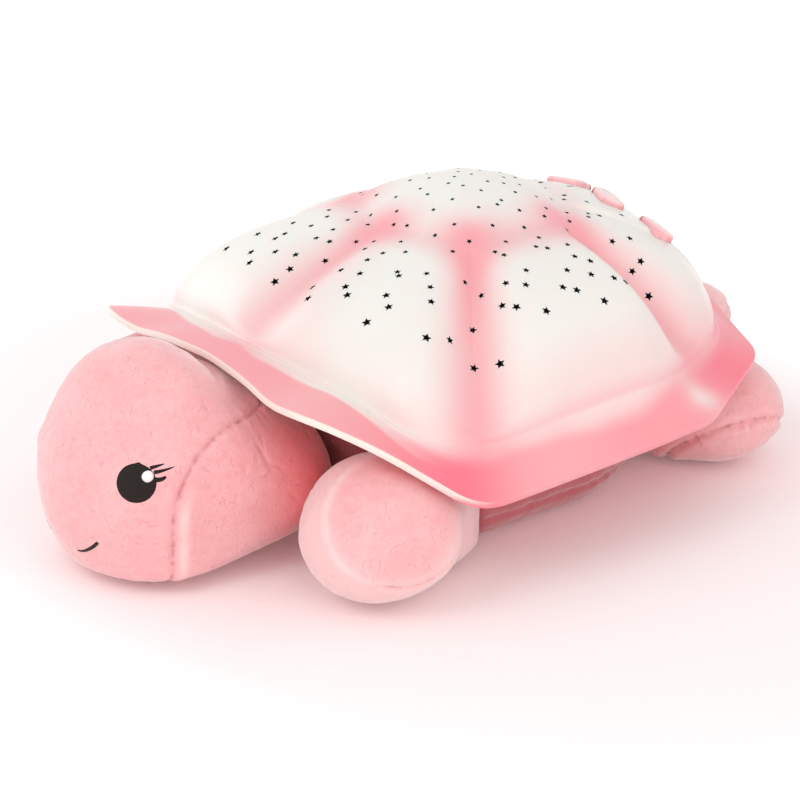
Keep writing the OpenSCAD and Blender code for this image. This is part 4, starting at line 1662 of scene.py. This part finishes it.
def plane_rule(at: Sequence[float], normal: Sequence[float], bow: float = 0.0) -> Rule:
    """Returns a seam rule for a plane, in metres, bowed by a share of the distance squared.

    Args:
        at: A point on the plane.
        normal: The plane's normal.
        bow: How much the plane bows towards its normal, per metre.

    Returns:
        The rule.
    """
    centre, n = np.array(at), np.array(normal) / np.linalg.norm(normal)

    def rule(points: Points) -> Points:
        """Returns the distance from the bowed plane.

        Args:
            points: Points in metres.

        Returns:
            The distances.
        """
        offset = points - centre
        height = offset @ n
        return height - bow * ((offset ** 2).sum(axis=1) - height ** 2)

    return rule


def mirrored(rule: Rule, side: int) -> Rule:
    """Returns a rule for one side of the turtle: 1 for the left, -1 for the right."""
    return lambda points: rule(points * [side, 1, 1])


def cheek_rule(points: Points) -> Points:
    """Returns the distance from the cheek seam: up the side of the face, round, and back to the shell.

    Args:
        points: Points in metres.

    Returns:
        The distances.
    """
    face_y, top_z, bend = -0.157, 0.069, 0.036
    ahead = face_y + bend - points[:, 1]
    above = points[:, 2] - (top_z - bend)
    outside = np.hypot(np.maximum(ahead, 0.0), np.maximum(above, 0.0))
    return outside + np.minimum(np.maximum(ahead, above), 0.0) - bend


@dataclass
class PlushBody:
    """The head, tail, belly cushion and flippers."""

    velour: Material
    painted_shade_velour: Material
    head: Optional[Piece] = None

    def build_head(self) -> None:
        """Models the head with a seam round each cheek."""
        dents: list[Dent] = []
        for s in (1, -1):
            dents += [
                Dent((s * 0.0445, -0.1120, 0.0558), (0.4 * s, 0.32, -1.0), 0.0075, 0.0014, 0.0011),
                Dent((s * 0.0242, -0.1834, 0.0285), (0.9 * s, 0.2, -0.5), 0.0016, 0.0014, 0.0013),
                Ring((s * 0.0393, -0.1704, 0.0548), (-0.45 * s, -0.5, -1.0), 0.0, 0.0010, -0.0006),
            ]
        seam = Seam(
            cheek_rule, depth=0.0010, width=0.0012, ridge=0.0010, ridge_at=-0.0044, ridge_width=0.0028,
            within=lambda points: step01((np.abs(points[:, 0]) - 0.012) / 0.01),
            ridged=product(climb(2, 0.058, -0.024), climb(2, 0.003, 0.010)),
        )
        self.head = Stuffed(
            "head", ROOT, [seam], dents, held=climb(1, -0.084, 0.008),
            # Painted shade: the lower back of the head, under the shell, takes the fold colour.
            folded=product(climb(1, -0.122, 0.036, 0.85), climb(2, 0.075, -0.02)),
            voxel=0.0034, fill=0.75, creases=70, seed=2.0,
        ).build(self.velour)

    def build_tail(self) -> None:
        """Models the tail with a seam round its edge."""
        Stuffed(
            "tail", ROOT, [Seam(plane_rule((0, 0.15, 0.040), (0, -0.25, 1.0)))], held=climb(1, 0.118, -0.01),
            # Painted shade at the tail's root, and a painted highlight over the whole tail.
            folded=climb(1, 0.140, -0.01, 0.3), painted_light=lambda points: np.full(len(points), 0.5),
            voxel=0.0035, shrink=0.0015, cap=0.004, creases=10, seed=5.0,
        ).build(self.velour)

    def build_cushion(self) -> None:
        """Models the belly cushion that the shell sits in, in dark velour with painted shade."""
        Stuffed(
            "belly_cushion", ROOT, [Seam(plane_rule((0, 0.027, 0.0125), (0, 0, 1.0)), depth=0.0009)],
            # Painted shade: the whole cushion takes the fold colour, most of all at its front.
            held=climb(2, 0.0025, -0.002), folded=lambda points: 0.6 + climb(1, -0.055, -0.03, 0.35)(points),
            voxel=0.0035, shrink=0.0012, cap=0.0022, pressure=2.0, hug=0.8, finer=1, lump=0.0005, seed=7.0,
        ).build(self.painted_shade_velour)

    def build_flippers(self) -> None:
        """Models the four flippers, each with its edge seam."""
        front = plane_rule((0.1045, -0.1043, 0.039), (-0.7256, 0.1624, -0.6687), bow=2.2)
        rear = plane_rule((0.0904, 0.1119, 0.0278), (-0.5612, 0.0582, 0.8256), bow=-1.5)
        ahead = lambda points: step01((-0.088 - points[:, 1] + 0.3 * points[:, 2]) / 0.016)
        for word, s in (("left", 1), ("right", -1)):
            edge = Seam(
                mirrored(front, s), depth=0.0012, width=0.0011, ridge=0.0007, ridge_at=-0.0004,
                ridge_width=0.0026, stitched=product(climb(2, 0.030, -0.008), climb(1, -0.110, 0.012)),
                ridged=product(climb(2, 0.016, 0.016), ahead),
            )
            pinch = Dent((s * 0.1140, -0.0490, 0.0260), (0.0, 0.3, 1.0), 0.018, 0.013, 0.0050)
            node = f"front_{word}_flipper"
            Stuffed(
                node, node, [edge], [pinch], creases=24, seed=11.0, cap=0.005,
                # Painted shade at the top of the flipper's back, under the brim, and a painted highlight
                # towards its rims.
                folded=product(climb(1, -0.064, 0.02, 0.45), climb(2, 0.045, 0.01)),
                painted_light=away_from((s * 0.1135, -0.0945, 0.0480), 0.020, 0.014, 0.70),
            ).build(self.velour)
            node = f"rear_{word}_flipper"
            welt = Seam(mirrored(rear, s), pucker=0.0009, depth=0.0016)
            # Painted shade on the flipper's forward part, near the shell and the belly.
            hip_shade = climb(1, 0.108, -0.02, 0.35)
            Stuffed(node, node, [welt], folded=hip_shade, creases=24, seed=17.0, cap=0.005).build(self.velour)

    def build(self) -> None:
        """Models every stuffed part."""
        self.build_head()
        self.build_tail()
        self.build_cushion()
        self.build_flippers()


# ---- Face ------------------------------------------------------------------


@dataclass
class Face:
    """The embroidered eyes, lashes and smile, laid on the head's cloth. Lengths are in metres."""

    head: Piece
    black: Material
    white: Material
    eye_at: Place = (0.0393, -0.1704, 0.0548)
    eye_facing: Place = (0.79, -0.57, 0.20)
    eye_radius: float = 0.0087
    pivot: Place = (0.0, -0.125, 0.0)
    spare_turn: float = math.radians(2.2)
    stand_out: float = 0.34
    patch_sides: int = 72
    patch_rings: int = 9
    patch_thick: float = 0.0009
    glint_radius: float = 0.0027
    glint_at: tuple[float, float] = (-0.0029, 0.0046)
    lashes: tuple[tuple[Place, ...], ...] = (
        ((41.2, -164.7, 60.9), (42.6, -161.7, 61.7), (43.4, -158.9, 62.1)),
        ((42.4, -163.6, 59.1), (44.0, -160.6, 59.3), (45.1, -155.0, 60.4)),
        ((43.1, -163.8, 56.2), (44.4, -161.4, 55.4), (44.8, -159.3, 56.9)),
    )
    lash_widths: tuple[tuple[float, ...], ...] = ((0.80, 0.72, 0.15), (0.85, 0.80, 0.14), (0.95, 1.15, 0.55))
    smile: tuple[Place, ...] = (
        (12.5, -184.8, 18.4), (16.0, -183.9, 18.6), (20.4, -182.9, 20.9), (25.6, -182.0, 26.3),
    )
    smile_widths: tuple[float, ...] = (0.35, 0.85, 1.0, 0.75)

    def __post_init__(self) -> None:
        """Prepares the cloth for laying pieces on."""
        self.cloth = surface_of(self.head)

    def lay(self, point: Vector, way: Vector) -> Vector:
        """Returns where a point meets the cloth along a direction, or else the nearest place."""
        hit = self.cloth.ray_cast(point + way * 0.02, -way, 0.06)[0]
        return hit or self.cloth.find_nearest(point)[0]

    def patch(
        self, name: str, radius: float, centre: tuple[float, float], rise: float, side: int, tip: float = 0.0
    ) -> Piece:
        """Models one round patch of satin stitch.

        Args:
            name: The piece's name.
            radius: Its radius.
            centre: Its centre on the eye, downwards and rearwards.
            rise: How far its middle stands above the cloth.
            side: 1 for the left of the face, -1 for the right.
            tip: How far a small point stands out towards the lashes, as a share of the radius.

        Returns:
            The patch.
        """
        bpy.ops.mesh.primitive_circle_add(vertices=self.patch_sides, radius=radius, fill_type="NGON")
        piece = made(name)
        inset = lambda: bpy.ops.mesh.inset(thickness=radius / (self.patch_rings + 1.5), depth=0.0)
        edit_where(piece, "FACE", lambda face: True, *[inset] * self.patch_rings, bpy.ops.mesh.poke)
        flat = points_of(piece)
        far = np.hypot(flat[:, 0], flat[:, 1]) / radius
        off = np.angle(np.exp(1j * (np.arctan2(flat[:, 1], flat[:, 0]) - 3.02)))
        grow = 1.0 + tip * far ** 4 * bump_at(off, 0.13)
        flip = Matrix.Diagonal((side, 1, 1, 1))
        if side < 0:
            turn = Matrix.Rotation(-self.spare_turn, 4, "Z")
            flip = Matrix.Translation(self.pivot) @ turn @ Matrix.Translation(-Vector(self.pivot)) @ flip
        way = flip.to_3x3() @ Vector(self.eye_facing).normalized()
        face = flip @ stand(self.eye_at, self.eye_facing)
        placed = []
        for (x, y, _), f, g in zip(flat, far, grow):
            spot = face @ Vector((x * g + centre[0], y * g + centre[1], 0.0))
            placed.append(self.lay(spot, way) + way * (rise * (1.0 - f ** 6) - 0.0003 * f ** 8))
        move_points(piece, np.array(placed))
        edit(piece, face_outwards)
        smooth(piece)
        if sum(p.normal.dot(way) for p in piece.data.polygons) < 0:
            edit(piece, bpy.ops.mesh.flip_normals)
        modify(piece, "SOLIDIFY", thickness=self.patch_thick, offset=-1.0)
        return piece

    def stroke(self, name: str, route: Sequence[Place], widths: Sequence[float], side: int) -> Piece:
        """Models one tapered stroke of satin stitch along the cloth.

        Args:
            name: The piece's name.
            route: Its points in millimetres, on the left side.
            widths: Its half width in millimetres at each point.
            side: 1 for the left of the face, -1 for the right.

        Returns:
            The stroke.
        """
        curve = bpy.data.curves.new(name, "CURVE")
        curve.dimensions = "3D"
        curve.bevel_depth = 1.0 * MM
        curve.bevel_resolution = 4
        curve.use_fill_caps = True
        curve.resolution_u = 12
        spline = curve.splines.new("NURBS")
        spline.points.add(len(route) - 1)
        spline.use_endpoint_u = True
        spline.order_u = min(4, len(route))
        for target, place, width in zip(spline.points, route, widths):
            spot = Vector((side * place[0], place[1], place[2])) * MM
            hit, normal = self.cloth.find_nearest(spot)[:2]
            target.co = (*(hit + normal * 0.0001), 1.0)
            target.radius = width
        piece = add_to_scene(bpy.data.objects.new(name, curve))
        pick(piece)
        bpy.ops.object.convert(target="MESH")
        flat = []
        for point in map(Vector, points_of(piece)):
            hit, normal = self.cloth.find_nearest(point)[:2]
            flat.append(point - normal * (point - hit).dot(normal) * (1.0 - self.stand_out))
        move_points(piece, np.array(flat))
        smooth(piece)
        return piece

    def build(self) -> None:
        """Models both sides of the face."""
        sides = {"left": 1, "right": -1}
        for word, side in sides.items():
            eye = self.patch(f"{word}_eye_stitched", self.eye_radius, (0.0, 0.0), 0.0007, side, 0.09)
            hand_over(eye, self.black, f"{word}_eye", ROOT)
        both = tuple(sides.values())
        glints = [self.patch("glint", self.glint_radius, self.glint_at, 0.0013, side) for side in both]
        hand_over(joined("eye_glints_stitched", glints), self.white, "eye_glints", ROOT)
        lashes = [
            self.stroke("lash", route, width, side)
            for side in both for route, width in zip(self.lashes, self.lash_widths)
        ]
        hand_over(joined("eyelashes_stitched", lashes), self.black, "eyelashes", ROOT)
        corners = [self.stroke("smile", self.smile, self.smile_widths, side) for side in both]
        hand_over(joined("mouth_stitched", corners), self.black, "mouth", ROOT)


# ---- Hard parts that keep their CAD shape ----------------------------------


@dataclass
class Binding:
    """The edging tape round the window under the belly. Lengths are in millimetres."""

    width: float = 59.8
    length: float = 83.8
    corner: float = 10.0
    thick: float = 1.2
    low: float = 0.3
    high: float = 8.7

    def build(self, finish: Material) -> Piece:
        """Models the tape as a rolled band with a proud welt along its lower edge.

        Args:
            finish: Its finish.

        Returns:
            The tape.
        """
        tape = slab("belly_binding_tape", self.width, self.length, self.corner)
        edit_where(
            tape, "FACE", lambda p: abs(p.normal.z) > 0.9,
            lambda: bpy.ops.mesh.delete(type="FACE"),
            lambda: bpy.ops.mesh.select_all(action="SELECT"),
            lambda: bpy.ops.mesh.subdivide(number_cuts=6),
        )
        settle(tape, Matrix.Translation((0, SHELL_Y, 0)) @ lifted(self.low, (1, 1, self.high - self.low)))
        at = points_of(tape)
        roll = bump_at(at[:, 2] - self.low - 1.2, 0.9) + 0.6 * bump_at(at[:, 2] - self.high + 1.0, 0.8)
        inward = (np.array([0.0, SHELL_Y, 0.0]) - at) * [1, 1, 0]
        inward /= np.maximum(np.linalg.norm(inward, axis=1, keepdims=True), 1e-6)
        move_points(tape, (at + inward * (0.5 * roll)[:, None]) * MM)
        modify(tape, "SOLIDIFY", thickness=self.thick * MM, offset=-1.0)
        modify(tape, "BEVEL", width=0.35 * MM, segments=2, limit_method="ANGLE")
        smooth(tape, 50)
        return hand_over(tape, finish, "belly_binding", ROOT)


@dataclass
class Works:
    """The casing, battery bay, boards, lamp, switches, wires and screws, which keep their CAD shape."""

    casing: Material

    def finishes(self) -> dict[str, Material]:
        """Returns one finish for each node that keeps its shape.

        Returns:
            The finishes by node.
        """
        steel = PlatedSteel().build()
        black = Moulded("black_plastic", (0.03, 0.03, 0.034), 0.42).build()
        green = CircuitBoard("green_board", (0.02, 0.13, 0.05), (0.05, 0.24, 0.10)).build()
        pale = CircuitBoard("lamp_board", (0.80, 0.80, 0.77), (0.55, 0.52, 0.40)).build()
        groups = {
            self.casing: ("shell_base", "battery_door", "lamp_post"),
            steel: ("base_screws", "switch_screws", "board_screws", "front_door_screw", "rear_door_screw",
                    "contact_springs", "contact_plates"),
            black: ("tact_switches", "board_components"),
            green: ("switch_boards", "main_board"),
            pale: ("led_board",),
            TintedLens("amber_lens", (0.85, 0.30, 0.02)).build(): ("amber_led",),
            TintedLens("green_lens", (0.05, 0.60, 0.08)).build(): ("green_led",),
            TintedLens("blue_lens", (0.02, 0.12, 0.80)).build(): ("blue_led",),
            CellJacket().build(): ("battery_cells",),
            Moulded("red_sleeve", (0.45, 0.01, 0.01), 0.4).build(): ("battery_leads",),
            Moulded("white_sleeve", (0.75, 0.75, 0.72), 0.4).build(): ("lamp_leads",),
            Moulded("grey_sleeve", (0.12, 0.13, 0.15), 0.4).build(): ("switch_leads",),
        }
        return {node: finish for finish, nodes in groups.items() for node in nodes}

    def build(self) -> None:
        """Dresses every node that keeps its shape."""
        for node, finish in self.finishes().items():
            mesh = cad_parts[node].data
            mesh.materials.clear()
            mesh.materials.append(finish)
            log.info("%s: %s", node, finish.name)


# ---- Studio ----------------------------------------------------------------


@dataclass
class Studio:
    """The floor, the soft lights and the camera. Lengths are in metres."""

    azimuth: float = 54.1
    elevation: float = 22.2
    distance: float = 1.09
    lens: float = 108.7
    aim: Place = (0.0118, -0.0179, 0.0461)
    floor_size: float = 9.0
    # The floor's glow by distance from the turtle: painted pink bounce light close to it, and a brighter glow
    # further out.
    lifts: tuple[tuple[float, Colour], ...] = (
        (0.14, (0.15, 0.07, 0.07)), (0.18, (0.21, 0.17, 0.17)), (0.23, (0.22, 0.28, 0.28)),
        (0.27, (0.38, 0.50, 0.50)), (0.34, (0.50, 0.62, 0.62)), (0.90, (0.56, 0.62, 0.62)),
    )
    floor_tones: tuple[Colour, Colour] = ((0.90, 0.90, 0.90), (0.93, 0.93, 0.93))
    half_width: float = 0.127
    half_length: float = 0.190
    world_level: float = 0.82

    def camera(self) -> None:
        """Adds the camera."""
        a, e = math.radians(self.azimuth), math.radians(self.elevation)
        back = Vector((math.sin(a) * math.cos(e), -math.cos(a) * math.cos(e), math.sin(e)))
        data = bpy.data.cameras.new("camera")
        data.lens = self.lens
        data.sensor_width = 36.0
        data.clip_end = 50.0
        camera = add_to_scene(bpy.data.objects.new("camera", data))
        camera.location = Vector(self.aim) + back * self.distance
        camera.rotation_euler = (-back).to_track_quat("-Z", "Y").to_euler()
        bpy.context.scene.camera = camera

    def seen_directly(self, graph: Graph) -> Socket:
        """Returns 1 where a ray shows the background: seen, mirrored or seen through.

        Args:
            graph: The tree that it is for.

        Returns:
            The number.
        """
        path = graph.tree.nodes.new("ShaderNodeLightPath")
        names = ("Is Camera Ray", "Is Glossy Ray", "Is Transmission Ray")
        seen, mirrored_ray, through = (Socket(graph, path.outputs[name]) for name in names)
        return seen.at_least(mirrored_ray).at_least(through)

    def floor(self) -> None:
        """Adds the pale floor, which is clear from below and glows for the camera, with painted pink bounce
        light near the turtle.
        """
        bpy.ops.mesh.primitive_plane_add(size=self.floor_size, location=(0, 0, 0))
        piece = made("floor")
        graph = Graph("floor")
        colour = graph.blend(graph.noise(1.2, 2.0, 0.5), self.floor_tones[0], self.floor_tones[1])
        diffuse = graph.add("ShaderNodeBsdfDiffuse", None, {"Color": colour})
        spread = graph.place((0.25 / self.half_width, 0.25 / self.half_length, 0.0))
        away = graph.add("ShaderNodeVectorMath", {"operation": "LENGTH"}, {0: spread}, "Value")
        lift = graph.ramp(away, self.lifts)
        glow = graph.add("ShaderNodeEmission", None, {"Color": lift, "Strength": self.seen_directly(graph)})
        both = graph.add("ShaderNodeAddShader", None, {0: diffuse, 1: glow})
        clear = graph.add("ShaderNodeBsdfTransparent")
        below = graph.add("ShaderNodeNewGeometry", result="Backfacing")
        mixed = graph.add("ShaderNodeMixShader", None, {0: below, 1: both, 2: clear})
        piece.data.materials.append(graph.close(mixed))

    def world(self) -> None:
        """Sets an even soft world that is white where it is seen."""
        graph = Graph("studio", world=True)
        level = self.seen_directly(graph) * (1.0 - self.world_level) + self.world_level
        background = graph.add("ShaderNodeBackground", None, {"Color": (1, 1, 1, 1), "Strength": level})
        bpy.context.scene.world = graph.close(background)

    def lamp(self, name: str, place: Place, size: float, power: float, colour: Colour = (1, 1, 1)) -> None:
        """Adds one soft square lamp that points at the turtle.

        Args:
            name: Its name.
            place: Where it stands, in metres.
            size: Its width, in metres.
            power: Its power, in watts.
            colour: Its colour.
        """
        data = bpy.data.lights.new(name, "AREA")
        data.size = size
        data.energy = power
        data.color = colour
        lamp = add_to_scene(bpy.data.objects.new(name, data))
        lamp.location = place
        lamp.rotation_euler = (Vector(place) - Vector((0, 0, 0.06))).to_track_quat("Z", "Y").to_euler()

    def build(self) -> None:
        """Sets the whole studio up."""
        self.camera()
        self.floor()
        self.world()
        self.lamp("key", (0.20, -1.28, 1.15), 0.7, 4.0)
        self.lamp("fill", (1.25, -0.20, 0.95), 1.2, 1.0)
        self.lamp("bounce", (0.90, -0.75, 0.17), 0.6, 1.6, (1.0, 0.55, 0.58))
        self.lamp("side", (1.15, 0.15, 0.26), 0.6, 1.7, (1.0, 0.86, 0.86))
        self.lamp("rim", (-1.35, -0.55, 0.50), 0.8, 4.0)
        bpy.context.scene.view_settings.view_transform = "Standard"


def main() -> None:
    """Builds the studio and every piece."""
    Studio().build()
    casing = Moulded("casing_plastic", (0.80, 0.79, 0.76), 0.48).build()
    shell = ShellDome()
    # Painted shade: the inside of the plates is coated black, so that the stars show dark.
    painted_shade_coat = Moulded("shell_painted_shade_coat", (0.016, 0.014, 0.014), 0.7).build()
    shell.build(SprayedShell().build(), painted_shade_coat, casing)
    caps = ButtonCap().build()
    names = ("power_button", "left_colour_button", "right_colour_button", "timer_button")
    for node, place in zip(names, shell.button_places):
        shell.button(node, place, caps)
    # Painted shade: the belly cushion takes a dark velour, so that it reads as the shadow under the shell.
    belly_shade_velour = Velour(
        "belly_painted_shade", pile=(0.50, 0.19, 0.195), brushed_and_lit=(0.55, 0.22, 0.225), shade=(0.40, 0.13, 0.145),
        fold=(0.56, 0.11, 0.13),
    )
    body = PlushBody(Velour("velour").build(), belly_shade_velour.build())
    body.build()
    black = Embroidery("black_thread", (0.010, 0.006, 0.005), (0.045, 0.030, 0.027)).build()
    white = Embroidery("white_thread", (0.90, 0.90, 0.90), (0.97, 0.97, 0.97)).build()
    Face(body.head, black, white).build()
    Binding().build(WovenTape().build())
    Works(casing).build()


if __name__ == "__main__":
    main()
